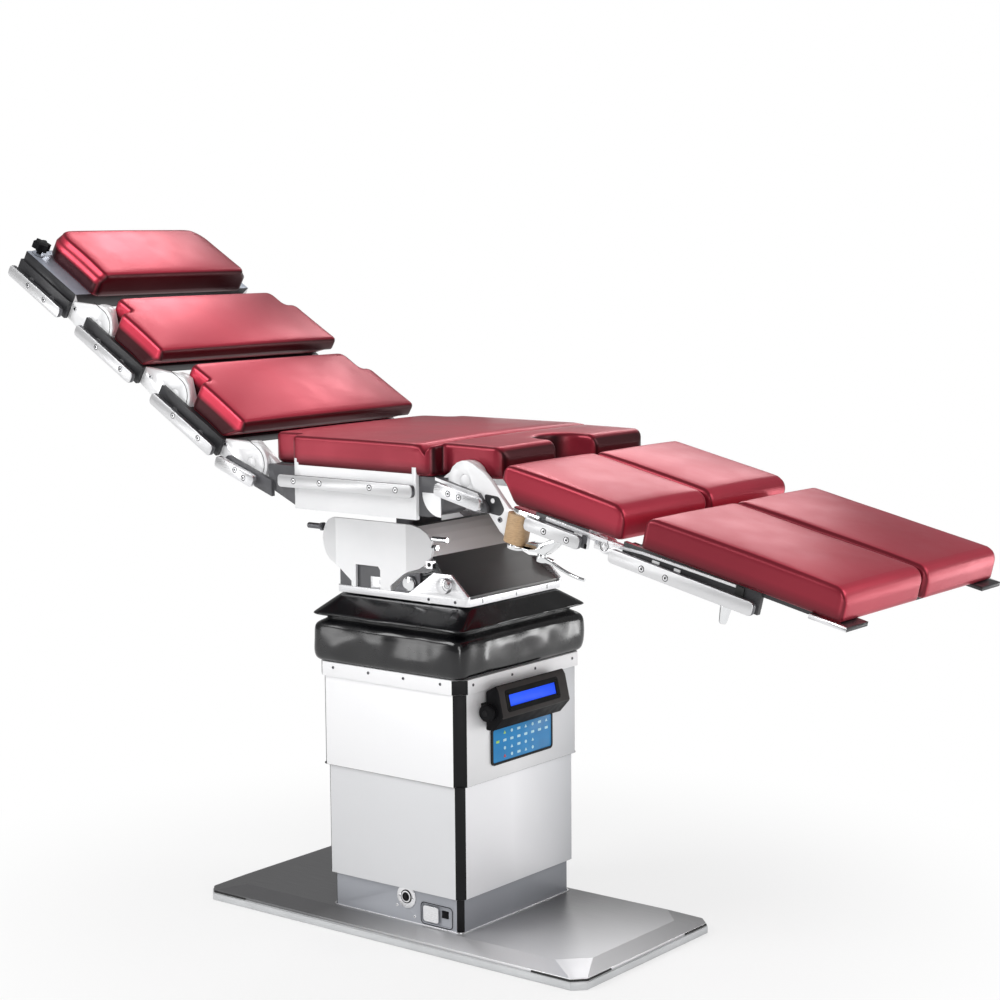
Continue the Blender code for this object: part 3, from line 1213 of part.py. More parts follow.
def seat_cushion(look, parent):
    """The widest cushion, with hinge notches in its corners and a rounded cut-out in its front edge."""
    low = HINGE_Z + CUSHION_FLOOR
    high = HINGE_Z + CUSHION_TOP
    half = SEAT_CUSHION_HALF_Y
    mouth = SEAT_CUT_HALF_WIDTH
    corner = CUSHION_CORNER
    corners = [(SEAT_CUSHION_REAR_X, NOTCH_Y, corner * 2), (SEAT_NOTCH_REAR_X, NOTCH_Y, corner * 0.8),
               (SEAT_NOTCH_REAR_X, half, corner * 1.5), (SEAT_NOTCH_FRONT_X, half, corner * 1.5),
               (SEAT_NOTCH_FRONT_X, NOTCH_Y, corner * 0.8), (SEAT_CUSHION_FRONT_X, NOTCH_Y, corner * 2),
               (SEAT_CUSHION_FRONT_X, mouth, corner),
               (SEAT_CUSHION_FRONT_X - SEAT_CUT_DEPTH, mouth, mouth * 0.9)]
    made = cushion("seat_cushion", parent, plan(1, corners), (low, high), look)
    outer = half + OVERRUN
    below = low - OVERRUN
    tab = SEAT_TAB_LENGTH + RUNNING_GAP
    tab_top = SEAT_PANEL_TOP_Z + SEAT_TAB_HEIGHT + RUNNING_GAP
    inner = BEAM_INNER_Y - RUNNING_GAP
    strips = []
    for x0, x1 in ((SEAT_PANEL_REAR_X - RUNNING_GAP, SEAT_PANEL_REAR_X + tab),
                   (SEAT_PANEL_FRONT_X - tab, SEAT_PANEL_FRONT_X + RUNNING_GAP)):
        strips += [block(x0, x1, inner, outer, below, tab_top), block(x0, x1, -outer, -inner, below, tab_top)]
    cut(made, merged(*strips))
    lip = SEAT_PANEL_TOP_Z + RUNNING_GAP
    rear_x = SEAT_PANEL_REAR_X + tab - OVERLAP
    front_x = SEAT_PANEL_FRONT_X - tab + OVERLAP
    cut(made, merged(block(rear_x, front_x, inner, outer, below, lip),
                     block(rear_x, front_x, -outer, -inner, below, lip)))


# Head rest

def head_rest(parent, look):
    made = back_frame("head_rest_frame", parent, HEAD_RAIL_START, HEAD_BLOCK_END, 0, look, HEAD_BLOCK_TOP)
    boss_top = HEAD_BLOCK_TOP + OVERLAP * 2
    join(made, rod("Z", (-STAR_X + STAR_BOSS_RADIUS * 0.2, -STAR_Y), STAR_BOSS_RADIUS,
                   HEAD_BLOCK_TOP - OVERLAP, boss_top, 16))
    for side, word in ((-1, "right"), (1, "left")):
        rail("head_rest_rail_" + word, parent, side, (-HEAD_RAIL_START, -HEAD_RAIL_END), look)
    low = HEAD_BLOCK_TOP + GAP
    outline = plan(-1, [(HEAD_CUSHION_START, HEAD_CUSHION_HALF_Y, CUSHION_CORNER * 1.5),
                        (HEAD_CUSHION_END, HEAD_CUSHION_HALF_Y, HEAD_CUSHION_REAR_RADIUS)])
    cushion("head_rest_cushion", parent, outline, (low, HEAD_CUSHION_TOP), look,
            top_share=HEAD_CUSHION_TOP_SHARE)
    star_knob(parent, boss_top + GAP, look)


def star_knob(parent, low, look):
    """A lobed clamp knob on a stem."""
    outline = []
    count = STAR_POINTS * 4
    for index in range(count):
        angle = 2 * math.pi * index / count
        wave = (1 + math.cos(angle * STAR_POINTS)) / 2
        radius = STAR_ROOT_RADIUS + (STAR_RADIUS - STAR_ROOT_RADIUS) * wave
        outline.append((radius * math.cos(angle), radius * math.sin(angle)))
    top = low + STAR_STEM_HEIGHT
    star = along_z(outline, top, top + STAR_HEIGHT)
    made = add_object("head_clamp_knob", star, look["black_plastic"], parent=parent,
                      place=(-STAR_X + STAR_BOSS_RADIUS * 0.2, -STAR_Y, 0))
    join(made, rod("Z", (0, 0), STAR_STEM_RADIUS, low, top + OVERLAP, 12))


# Legs

def hip_arm(name, side, parent, look):
    """The hinged hip plate: round about its pin, then a band that bends down to the bearing block."""
    tip = HIP_BUSH_START + HIP_ARM_SLOT
    points = [*arc((0, 0), HIP_RADIUS, 75, 285, 11), *HIP_ARM_LOWER_EDGE,
              (HIP_BUSH_START - OVERLAP, HIP_BUSH_BOTTOM), (tip, HIP_BUSH_BOTTOM), (tip, bush_top()),
              *HIP_ARM_UPPER_EDGE]
    low, high = sorted((side * ARM_INNER_Y, side * ARM_OUTER_Y))
    made = add_object(name, along_y(points, low, high), look["white_steel"], parent=parent)
    cut(made, rod("Y", (0, 0), HINGE_PIN_RADIUS + GAP, low - RUNNING_GAP / 2, high + RUNNING_GAP / 2))


def bush_top():
    return HIP_CAP_TOP - HIP_CAP_THICKNESS - GAP


def pivot_bush(name, side, parent, look):
    """The bearing block on the hip plate. It is slotted for the plate and bored for the leg's post."""
    half = (HIP_POST_X + HIP_BUSH_RADIUS - HIP_BUSH_START) / 2
    centre = (HIP_BUSH_START + half, side * HIP_POST_Y)
    outline = rounded(half, HIP_BUSH_RADIUS, HIP_BUSH_RADIUS * 0.7, 4, centre)
    made = add_object(name, along_z(outline, HIP_BUSH_BOTTOM, bush_top()), look["bush_tan"], parent=parent)
    low, high = leg_side(side, ARM_INNER_Y - GAP, ARM_OUTER_Y + GAP)
    slot = block(HIP_BUSH_START - OVERRUN, HIP_BUSH_START + HIP_ARM_SLOT + GAP, low, high,
                 HIP_BUSH_BOTTOM - OVERRUN, bush_top() + OVERRUN)
    cut(made, slot)
    cut(made, rod("Z", (HIP_POST_X, side * HIP_POST_Y), HIP_POST_RADIUS + GAP, HIP_BUSH_BOTTOM - OVERRUN,
                  bush_top() + OVERRUN))


def clamp_lever(name, side, parent, look):
    """A clamp lever under the leg's lower link: threaded hub, flat root and a long bent handle."""
    top = LEVER_HUB_TOP - GAP
    low = top - LEVER_HUB_HEIGHT
    made = add_object(name, rod("Z", (0, 0), LEVER_HUB_RADIUS, low, top, 16), look["chrome"], parent=parent,
                      place=(LEVER_X, side * HIP_POST_Y, 0))
    jaw = [(0, -LEVER_HUB_RADIUS * 0.8), (LEVER_JAW_LENGTH, -LEVER_HUB_RADIUS * 0.5),
           (LEVER_JAW_LENGTH, LEVER_HUB_RADIUS * 0.5), (0, LEVER_HUB_RADIUS * 0.8)]
    join(made, along_z(jaw, low + LEVER_HUB_HEIGHT * 0.15, top - LEVER_HUB_HEIGHT * 0.35))
    rings = []
    handle = bmesh.new()
    start = LEVER_JAW_LENGTH * 0.7
    for index in range(7):
        share = index / 6
        x = start + (LEVER_LENGTH - start) * share
        z = low + LEVER_HUB_HEIGHT * 0.4 - LEVER_DROOP * math.sin(share * math.pi * 0.62)
        radius = LEVER_RADIUS * (1 - 0.2 * share)
        rings.append([handle.verts.new((x, y, z + height)) for y, height in circle((0, 0), radius, 10)])
    link_rings(handle, rings)
    handle.faces.new(rings[0])
    handle.faces.new(rings[-1])
    bmesh.ops.recalc_face_normals(handle, faces=handle.faces)
    join(made, handle)


def leg_side(side, inner, outer):
    """Y limits of a strip on one leg, given from the middle of the table outwards."""
    return sorted((side * inner, side * outer))


def thigh_frame(name, side, parent, look):
    """Board and outer beam, a post through the hip block between two caps, and knee lugs at the far end."""
    start = THIGH_BOARD_START
    end = THIGH_BOARD_END

    def floor_at(x):
        slope = THIGH_FLOOR_TILT / (THIGH_CUSHION_END - THIGH_CUSHION_START)
        return THIGH_CUSHION_FLOOR - THIGH_FLOOR_TILT + (x - THIGH_CUSHION_START) * slope - RUNNING_GAP

    low, high = leg_side(side, KNEE_INNER_LAYER_Y - CHEEK_THICKNESS, BEAM_INNER_Y + OVERLAP)
    base = floor_at(start) - THIGH_BOARD_THICKNESS
    board = [(start, base), (end, base), (end, floor_at(end)), (start, floor_at(start))]
    made = add_object(name, along_y(board, low, high), look["black_frame"], parent=parent)
    low, high = leg_side(side, BEAM_INNER_Y, BEAM_OUTER_Y)
    beam = [(start, BEAM_BOTTOM), (THIGH_BEAM_END, BEAM_BOTTOM), (THIGH_BEAM_END, floor_at(THIGH_BEAM_END)),
            (start, floor_at(start))]
    join(made, along_y(beam, low, high))
    post_y = side * HIP_POST_Y
    radius = HIP_CAP_RADIUS
    lug = [*arc((HIP_POST_X, post_y), radius, 90, 270, 7), (start + OVERRUN, post_y - radius * 0.7),
           (start + OVERRUN, post_y + radius * 0.7)]
    join(made, along_z(lug, HIP_CAP_TOP - HIP_CAP_THICKNESS, HIP_CAP_TOP))
    link_top = HIP_BUSH_BOTTOM - GAP
    foot = link_top - HIP_CAP_THICKNESS
    join(made, rod("Z", (HIP_POST_X, post_y), HIP_POST_RADIUS, link_top - OVERLAP, HIP_CAP_TOP - OVERLAP))
    join(made, rod("Z", (HIP_POST_X, post_y), radius, foot, link_top))
    half = WEDGE_THICKNESS / 2
    low, high = leg_side(side, HIP_POST_Y - half, HIP_POST_Y + half)
    beam_low = BEAM_BOTTOM + OVERLAP
    wedge = [(HIP_POST_X, foot + OVERLAP), (HIP_POST_X, link_top - OVERLAP),
             (HIP_POST_X + HIP_BUSH_RADIUS * 1.3, link_top),
             (HIP_POST_X + HIP_BUSH_RADIUS * 1.6, WEDGE_SHOULDER_Z),
             (LEVER_X, WEDGE_WAIST_Z), (WEDGE_END - OVERRUN, beam_low), (WEDGE_END, beam_low),
             (WEDGE_END - OVERRUN, WEDGE_WAIST_Z), (LEVER_X + OVERRUN, LEVER_HUB_TOP),
             (LEVER_X - OVERRUN, LEVER_HUB_TOP)]
    join(made, along_y(wedge, low, high))
    knee = [*arc((KNEE_X, KNEE_Z), KNEE_RADIUS, -90, 90, 7), (end - OVERRUN, KNEE_Z + KNEE_RADIUS),
            (end - OVERRUN, KNEE_Z - KNEE_RADIUS)]
    lugs = []
    pins = []
    for inner, outer, pin_end in knee_layers():
        low, high = leg_side(side, inner, outer)
        lugs.append(along_y(knee, low, high))
        low, high = leg_side(side, outer - OVERLAP, pin_end)
        pins.append(rod("Y", (KNEE_X, KNEE_Z), KNEE_PIN_RADIUS, low, high, 16))
    join(made, merged(*lugs))
    join(made, merged(*pins))
    span = THIGH_RAIL_END - THIGH_RAIL_START
    low, high = leg_side(side, BEAM_OUTER_Y - OVERLAP, RAIL_INNER_Y)
    spacers = [rod("Y", (THIGH_RAIL_START + span * share, -RAIL_DROP), SPACER_RADIUS, low, high, 16)
               for share in THIGH_SPACER_SHARES]
    join(made, merged(*spacers))


def knee_layers():
    """Inner and outer Y of each thigh knee lug, and where its pin ends in the calf's arm outside it."""
    inner = KNEE_INNER_LAYER_Y
    return ((FIXED_INNER_Y, FIXED_OUTER_Y, ARM_OUTER_Y),
            (inner - CHEEK_THICKNESS + RUNNING_GAP, inner + RUNNING_GAP, inner + CHEEK_THICKNESS + RUNNING_GAP * 2))


def calf_frame(name, side, parent, look):
    """Long board with an outer beam, knee arms, a lock block and a foot plate at its outer corner."""
    board_high = CALF_CUSHION_FLOOR - GAP
    low, high = leg_side(side, KNEE_INNER_LAYER_Y - CHEEK_THICKNESS, BEAM_INNER_Y + OVERLAP)
    made = add_object(name, block(CALF_BOARD_START, CALF_BOARD_END, low, high, CALF_BOARD_BOTTOM, board_high),
                      look["black_frame"], parent=parent)
    low, high = leg_side(side, BEAM_INNER_Y, BEAM_OUTER_Y)
    beam = [(CALF_BEAM_START, BEAM_BOTTOM), (CALF_RAIL_END, BEAM_BOTTOM), (CALF_RAIL_END, BEAM_TOP - GAP),
            (CALF_BEAM_START, BEAM_TOP - GAP)]
    join(made, along_y(beam, low, high))
    arm_end = CALF_BOARD_START + OVERRUN
    arm = [*arc((KNEE_X, KNEE_Z), KNEE_RADIUS, 90, 270, 7), (CALF_BEAM_START, KNEE_Z - KNEE_RADIUS),
           (arm_end, CALF_BOARD_BOTTOM - OVERLAP * 2), (arm_end, BOARD_TOP - OVERLAP),
           (CALF_BEAM_START + OVERRUN, BOARD_TOP - OVERLAP), (CALF_BEAM_START, KNEE_Z + KNEE_RADIUS)]
    arms = []
    for inner, outer, pin_end in knee_layers():
        low, high = leg_side(side, outer + RUNNING_GAP, pin_end)
        arms.append(along_y(arm, low, high))
    join(made, merged(*arms))
    holes = [rod("Y", (KNEE_X, KNEE_Z), KNEE_PIN_RADIUS + GAP, *leg_side(side, outer + RUNNING_GAP / 2,
                                                                         pin_end + RUNNING_GAP / 2), 16)
             for inner, outer, pin_end in knee_layers()]
    cut(made, merged(*holes))
    low, high = leg_side(side, CALF_CUSHION_OUTER_Y - CALF_FOOT_WIDTH, CALF_CUSHION_OUTER_Y + CALF_FOOT_REACH)
    join(made, block(CALF_FOOT_START, CALF_FOOT_END, low, high, CALF_FOOT_BOTTOM, board_high - GAP))
    low, high = leg_side(side, BEAM_INNER_Y - OVERRUN, BEAM_OUTER_Y - OVERLAP)
    block_x = CALF_BLOCK_X + CALF_BLOCK_LENGTH / 2
    board_low = CALF_BOARD_BOTTOM + OVERLAP
    join(made, block(block_x - CALF_BLOCK_LENGTH, block_x, low, high, -CALF_BLOCK_DROP, board_low))
    half = LOCK_BLOCK_LENGTH / 2
    low, high = leg_side(side, BEAM_INNER_Y - LOCK_BLOCK_LENGTH, BEAM_INNER_Y + OVERLAP)
    join(made, block(LOCK_X - half, LOCK_X + half, low, high, BEAM_BOTTOM + OVERLAP, board_low))
    lock_y = side * (BEAM_INNER_Y - half)
    cut(made, rod("Z", (LOCK_X, lock_y), LOCK_STEM_RADIUS + GAP, BEAM_BOTTOM - OVERRUN,
                  BEAM_BOTTOM + LOCK_STEM + GAP, 16))
    span = CALF_RAIL_END - CALF_RAIL_START
    low, high = leg_side(side, BEAM_OUTER_Y - OVERLAP, RAIL_INNER_Y)
    spacers = [rod("Y", (CALF_RAIL_START + span * share, -RAIL_DROP), SPACER_RADIUS, low, high, 16)
               for share in CALF_SPACER_SHARES]
    join(made, merged(*spacers))


def lock_knob(name, side, parent, look):
    """A tapered pull knob whose stem slides in the lock block."""
    top = BEAM_BOTTOM - GAP
    profile = [(LOCK_TIP_RADIUS * 0.8, top - LOCK_LENGTH), (LOCK_TIP_RADIUS, top - LOCK_LENGTH * 0.94),
               (LOCK_TOP_RADIUS, top - LOCK_LENGTH * 0.12), (LOCK_TOP_RADIUS * 0.9, top),
               (LOCK_STEM_RADIUS, top), (LOCK_STEM_RADIUS, top + LOCK_STEM)]
    half = LOCK_BLOCK_LENGTH / 2
    place = (LOCK_X, side * (BEAM_INNER_Y - half))
    add_object(name, turned(profile, steps=16), look["chrome"], parent=parent, place=(*place, 0))


def leg_plan(side, start, end, outer_y, corner):
    """The outline of one leg cushion, a narrow gap off the middle of the table."""
    low, high = leg_side(side, LEG_PAIR_GAP, outer_y)
    return softened([(start, low), (end, low), (end, high), (start, high)], [corner] * 4)


def leg(side, word, hip_pivot, look):
    """All pieces of one leg, hip to foot."""
    hip_arm("hip_arm_" + word, side, hip_pivot, look)
    pivot_bush("pivot_bush_" + word, side, hip_pivot, look)
    swing = pivot("swing_axis_" + word, (HIP_POST_X, side * HIP_POST_Y, 0), hip_pivot)
    thigh = pivot("thigh_origin_" + word, (-HIP_POST_X, -side * HIP_POST_Y, 0), swing)
    thigh_frame("thigh_frame_" + word, side, thigh, look)
    clamp_lever("clamp_lever_" + word, side, thigh, look)
    rail("thigh_rail_" + word, thigh, side, (THIGH_RAIL_START, THIGH_RAIL_END), look)
    corner = CUSHION_CORNER
    outline = leg_plan(side, THIGH_CUSHION_START, THIGH_CUSHION_END, THIGH_CUSHION_OUTER_Y, corner)
    cushion("thigh_cushion_" + word, thigh, outline, (THIGH_CUSHION_FLOOR, CUSHION_TOP), look, THIGH_UNDERCUT,
            THIGH_FLOOR_TILT)
    knee = pivot("knee_axis_" + word, (KNEE_X, 0, KNEE_Z), thigh)
    calf = pivot("calf_origin_" + word, (-KNEE_X, 0, -KNEE_Z), knee)
    calf_frame("calf_frame_" + word, side, calf, look)
    rail("calf_rail_" + word, calf, side, (CALF_RAIL_START, CALF_RAIL_END), look)
    outline = leg_plan(side, CALF_CUSHION_START, CALF_CUSHION_END, CALF_CUSHION_OUTER_Y, corner)
    cushion("calf_cushion_" + word, calf, outline, (CALF_CUSHION_FLOOR, CUSHION_TOP), look)
    lock_knob("lock_knob_" + word, side, calf, look)


def palette():
    return {
        "steel": material("steel", (0.78, 0.79, 0.80), 0.28, 1.0),
        "brushed": material("brushed_steel", (0.74, 0.75, 0.78), 0.34, 1.0),
        "white_steel": material("white_steel", (0.86, 0.87, 0.88), 0.35, 0.4),
        "chrome": material("chrome", (0.82, 0.83, 0.84), 0.12, 1.0),
        "dark_steel": material("dark_steel", (0.22, 0.23, 0.25), 0.35, 0.9),
        "dark_gloss": material("dark_gloss", (0.08, 0.085, 0.09), 0.22, 0.6),
        "grey_paint": material("grey_paint", (0.62, 0.64, 0.64), 0.45),
        "black_frame": material("black_frame", (0.03, 0.03, 0.035), 0.4),
        "dark_frame": material("dark_frame", (0.16, 0.16, 0.18), 0.45, 0.3),
        "black_plastic": material("black_plastic", (0.025, 0.025, 0.028), 0.38),
        "leatherette": material("leatherette", (0.02, 0.02, 0.022), 0.3),
        "vinyl": material("vinyl", (0.55, 0.06, 0.10), 0.34),
        "bush_tan": material("bush_tan", (0.55, 0.38, 0.20), 0.5),
        "screen": material("screen", (0.06, 0.12, 0.85), 0.15),
        "blue_film": material("blue_film", (0.05, 0.35, 0.55), 0.3),
    }


def main():
    clear_scene()
    look = palette()
    base_frame(look)
    base_cover(look)
    column_sleeves(look)
    rim_band(look)
    lift_cylinder(look)
    lift_piston(look)
    power_socket(look)
    service_panel(look)
    power_switch(look)
    display_bracket(look)
    display_parts(look)
    display_knob(look)
    keypad(look)
    bellows(look)
    head_plate(look)
    link_pin(look)
    tilt_cheek("tilt_cheek_right", -1, look)
    tilt_cheek("tilt_cheek_left", 1, look)
    wedge_cover(look)
    tilt_cross(look)
    seat_frame(look, None)
    for side, word in ((-1, "right"), (1, "left")):
        rail("seat_rail_" + word, None, side, (SEAT_RAIL_REAR_X, SEAT_RAIL_FRONT_X), look, HINGE_Z - RAIL_DROP)
    seat_cushion(look, None)
    lower = pivot("lower_back_axis", (BACK_HINGE_X, 0, HINGE_Z), slope=BACK_SLOPE)
    back_section("lower_back", lower, (LOWER_RAIL_START, LOWER_RAIL_END, LOWER_LENGTH, LOWER_CUSHION_START,
                                       LOWER_CUSHION_END, LOWER_CUSHION_HALF_Y), look)
    upper = pivot("upper_back_axis", (-LOWER_LENGTH, 0, 0), lower)
    back_section("upper_back", upper, (UPPER_RAIL_START, UPPER_RAIL_END, UPPER_LENGTH, UPPER_CUSHION_START,
                                       UPPER_CUSHION_END, UPPER_CUSHION_HALF_Y), look)
    head = pivot("head_rest_axis", (-UPPER_LENGTH, 0, 0), upper)
    head_rest(head, look)
    for side, word in ((-1, "right"), (1, "left")):
        hip = pivot("hip_axis_" + word, (LEG_HINGE_X, 0, HINGE_Z), slope=LEG_SLOPE)
        leg(side, word, hip, look)


main()
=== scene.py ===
"""Operating table: materials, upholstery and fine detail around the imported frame.

Metres, +Z up, the feet of the patient towards +X, the right side towards -Y.
"""
import json
import math
import bpy
import bmesh
from mathutils import Matrix, Vector, noise


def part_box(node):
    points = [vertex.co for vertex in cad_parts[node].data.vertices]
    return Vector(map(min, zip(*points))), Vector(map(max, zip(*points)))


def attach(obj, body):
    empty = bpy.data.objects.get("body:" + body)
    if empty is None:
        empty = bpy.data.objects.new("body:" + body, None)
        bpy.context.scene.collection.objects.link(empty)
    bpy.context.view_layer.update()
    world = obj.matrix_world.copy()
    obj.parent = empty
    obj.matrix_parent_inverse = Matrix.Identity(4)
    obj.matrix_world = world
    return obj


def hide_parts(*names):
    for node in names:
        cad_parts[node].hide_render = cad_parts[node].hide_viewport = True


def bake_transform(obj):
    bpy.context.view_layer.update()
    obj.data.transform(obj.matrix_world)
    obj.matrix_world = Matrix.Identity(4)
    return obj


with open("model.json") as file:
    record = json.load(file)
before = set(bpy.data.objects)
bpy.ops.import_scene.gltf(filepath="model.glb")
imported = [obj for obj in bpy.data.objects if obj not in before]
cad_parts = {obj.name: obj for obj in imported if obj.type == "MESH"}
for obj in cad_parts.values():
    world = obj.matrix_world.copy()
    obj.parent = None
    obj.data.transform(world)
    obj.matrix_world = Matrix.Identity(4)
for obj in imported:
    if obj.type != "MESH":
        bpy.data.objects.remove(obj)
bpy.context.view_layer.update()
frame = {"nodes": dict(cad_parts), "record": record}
nodes = frame["nodes"]

SIDES = (("right", -1), ("left", 1))

# Slopes of the back and of the legs, and the height of the hinges on the seat
BACK_SLOPE = math.radians(31.0)
LEG_SLOPE = math.radians(13.0)
HINGE_Z = 0.946

# Distances from the middle plane: the hinge arms' inner and outer faces, planes just past those outer faces
# and just past the frames' outer faces, and the rails' outer faces
ARM_INSIDE = 0.2350
ARM_FACE = 0.2600
PAST_ARMS = 0.2604
PAST_FRAMES = 0.2702
RAIL_FACE = 0.290

HEAD_PLATE_TOP = 0.6970

# The camera's place, its yaw, pitch and roll in radians, and its lens
CAMERA_PLACE = (2.8086, -3.4263, 1.4182)
CAMERA_TURN = (0.6631, 0.1243, -0.0077)
SENSOR = 36
LENS = 2.2015 * SENSOR


def place_camera():
    yaw, pitch, roll = CAMERA_TURN
    forward = Vector((-math.sin(yaw) * math.cos(pitch), math.cos(yaw) * math.cos(pitch), -math.sin(pitch)))
    level = Vector((math.cos(yaw), math.sin(yaw), 0))
    upright = level.cross(forward)
    right = math.cos(roll) * level + math.sin(roll) * upright
    up = -math.sin(roll) * level + math.cos(roll) * upright
    data = bpy.data.cameras.new("camera")
    data.sensor_width = SENSOR
    data.lens = LENS
    data.clip_end = 100
    camera = bpy.data.objects.new("camera", data)
    matrix = Matrix((right, up, -forward)).transposed().to_4x4()
    matrix.translation = Vector(CAMERA_PLACE)
    camera.matrix_world = matrix
    bpy.context.scene.collection.objects.link(camera)
    bpy.context.scene.camera = camera


# Materials

def reckoned(tree, operation, *values):
    """The output of a Math node on outputs and numbers."""
    made = tree.nodes.new("ShaderNodeMath")
    made.operation = operation
    for socket, value in zip(made.inputs, values):
        if isinstance(value, (int, float)):
            socket.default_value = value
        else:
            tree.links.new(value, socket)
    return made.outputs[0]


class Look:
    """A Principled material with object-space texture detail."""

    def __init__(self, name, colour, roughness, metallic=0.0, **sockets):
        self.name = name
        self.material = bpy.data.materials.new(name)
        self.material.use_nodes = True
        self.tree = self.material.node_tree
        self.shader = self.tree.nodes["Principled BSDF"]
        self.colour = (*colour, 1.0)
        self.roughness = roughness
        sockets.update(Base_Color=self.colour, Roughness=roughness, Metallic=metallic)
        for key, value in sockets.items():
            self.shader.inputs[key.replace("_", " ")].default_value = value
        coordinates = self.tree.nodes.new("ShaderNodeTexCoord").outputs
        self.place, self.normal = coordinates["Object"], coordinates["Normal"]

    def node(self, kind, **values):
        made = self.tree.nodes.new("ShaderNode" + kind)
        for key, value in values.items():
            if key in made.inputs:
                made.inputs[key].default_value = value
            else:
                setattr(made, key, value)
        return made

    def link(self, source, target):
        self.tree.links.new(source, target)

    def reckon(self, operation, *values):
        return reckoned(self.tree, operation, *values)

    def grain(self, scale, stretch=(1, 1, 1), detail=3.0):
        """Noise in object space, in cycles per metre, drawn out along an axis by a small stretch factor."""
        mapping = self.node("Mapping", Scale=stretch)
        self.link(self.place, mapping.inputs["Vector"])
        texture = self.node("TexNoise", Scale=scale, Detail=detail)
        self.link(mapping.outputs["Vector"], texture.inputs["Vector"])
        return texture.outputs["Fac"]

    def cells(self, scale):
        texture = self.node("TexVoronoi", Scale=scale)
        self.link(self.place, texture.inputs["Vector"])
        return texture.outputs["Distance"]

    def along(self, axis, vector=None):
        """The part of a vector, or else of the place in metres, along an object axis."""
        split = self.node("SeparateXYZ")
        self.link(vector or self.place, split.inputs[0])
        return split.outputs[axis]

    def plus(self, value, other, share):
        return self.reckon("MULTIPLY_ADD", other, share, value)

    def span(self, value, low, high, start=0.35, end=0.65):
        """Maps the stretch of values from start to end onto the one from low to high."""
        made = self.node("MapRange", **{"From Min": start, "From Max": end, "To Min": low, "To Max": high})
        self.link(value, made.inputs["Value"])
        return made.outputs["Result"]

    def mixed(self, factor, *ends):
        """Sets the colour to one between two others, each a colour or an output."""
        mix = self.node("Mix", data_type="RGBA")
        self.link(factor, mix.inputs["Factor"])
        for socket, end in zip([socket for socket in mix.inputs if socket.type == "RGBA"], ends):
            if isinstance(end, tuple):
                socket.default_value = end
            else:
                self.link(end, socket)
        colours = [socket for socket in mix.outputs if socket.type == "RGBA"]
        self.link(colours[0], self.shader.inputs["Base Color"])
        return self

    def vary_colour(self, value, other, start=0.3, end=0.7):
        return self.mixed(self.span(value, 0.0, 1.0, start, end), self.colour, (*other, 1.0))

    def vary_roughness(self, value, spread):
        self.link(self.span(value, max(0.02, self.roughness - spread), self.roughness + spread),
                  self.shader.inputs["Roughness"])
        return self

    def bump(self, value, strength, distance=0.001):
        made = self.node("Bump", Strength=strength, Distance=distance)
        previous = self.shader.inputs["Normal"]
        if previous.is_linked:
            self.link(previous.links[0].from_socket, made.inputs["Normal"])
        self.link(value, made.inputs["Height"])
        self.link(made.outputs["Normal"], previous)
        return self


def vinyl_look(name, end_shade, side_shade, far_shade, foot):
    """Satin crimson vinyl with painted shade: darker along the edges beside the top, on the sides, low on the
    sides, on the ends and towards the far side.
    """
    look = Look(name, (0.68, 0.046, 0.088), 0.33, 0.48, Specular_IOR_Level=0.40, Coat_Weight=0.05,
                Coat_Roughness=0.18)
    outward = look.reckon("ABSOLUTE", look.along("Y", look.normal))
    # Painted shade: a dark line where the top rolls into the sides, and the sides darkened by side_shade
    painted_bend_shade = look.reckon("MULTIPLY", look.span(outward, 0.0, 1.0, 0.20, 0.46),
                       look.span(outward, 1.0, 1.0 - side_shade, 0.66, 0.95))
    # Painted shade low on the sides, towards their foot
    under = look.reckon("MAXIMUM", look.span(look.along("Z"), *foot),
                        look.span(outward, 1.0, 0.0, 0.70, 0.90))
    # Painted shade on the ends that face the feet
    ends = look.span(look.along("X", look.normal), 1.0, end_shade, 0.50, 0.85)
    # Painted shade towards the far side, +Y, wavered by noise
    far = look.span(look.plus(look.along("Y"), look.grain(1.6, detail=0.0), 0.10), 1.0, far_shade, 0.0, 0.24)
    shade = look.span(painted_bend_shade, 1.0, 0.34, 0.0, 1.0)
    for other in (under, ends, far):
        shade = look.reckon("MULTIPLY", shade, other)
    look.vary_colour(look.grain(2.4, detail=1.0), (0.58, 0.034, 0.070), 0.36, 0.64)
    tinted = look.shader.inputs["Base Color"].links[0].from_socket
    # The painted shade mixes the vinyl's colour towards near black
    look.mixed(shade, (0.010, 0.001, 0.002, 1.0), tinted)
    return look.vary_roughness(look.grain(14.0), 0.03).bump(look.cells(950), 0.07, 0.0003)


def sleeve_look(name, colour, painted_shade_colour, roughness):
    """Brushed sheet with painted shade: its tone falls off across the column, darker towards +Y."""
    sheet = Look(name, colour, roughness, 0.35)
    lines = sheet.grain(900, (1, 1, 0.012), 2.0)
    sheet.vary_colour(sheet.plus(sheet.along("Y"), sheet.grain(3.0), 0.08), painted_shade_colour, 0.02, 0.24)
    return sheet.vary_roughness(lines, 0.03).bump(lines, 0.02, 0.0002)


def plain_look(name, colour, roughness, metallic, sockets, tint, wear, relief):
    """A look with even noise in its colour, its roughness and its relief."""
    look = Look(name, colour, roughness, metallic, **sockets)
    if tint:
        scale, other, *more = tint
        look.vary_colour(look.grain(scale, *more), other)
    if wear:
        scale, spread, *more = wear
        look.vary_roughness(look.grain(scale, *more), spread)
    if relief:
        scale, strength, depth, *more = relief
        look.bump(look.grain(scale, *more), strength, depth)
    return look


# Painted shade that darkens a vinyl's sides towards their foot: shades at the foot and above it, and the
# heights between them
LOW_FOOT_SHADE = (0.25, 1.0, 0.004, 0.030)
MID_FOOT_SHADE = (0.06, 1.0, 0.034, 0.046)
HIGH_FOOT_SHADE = (0.06, 1.0, 0.050, 0.060)

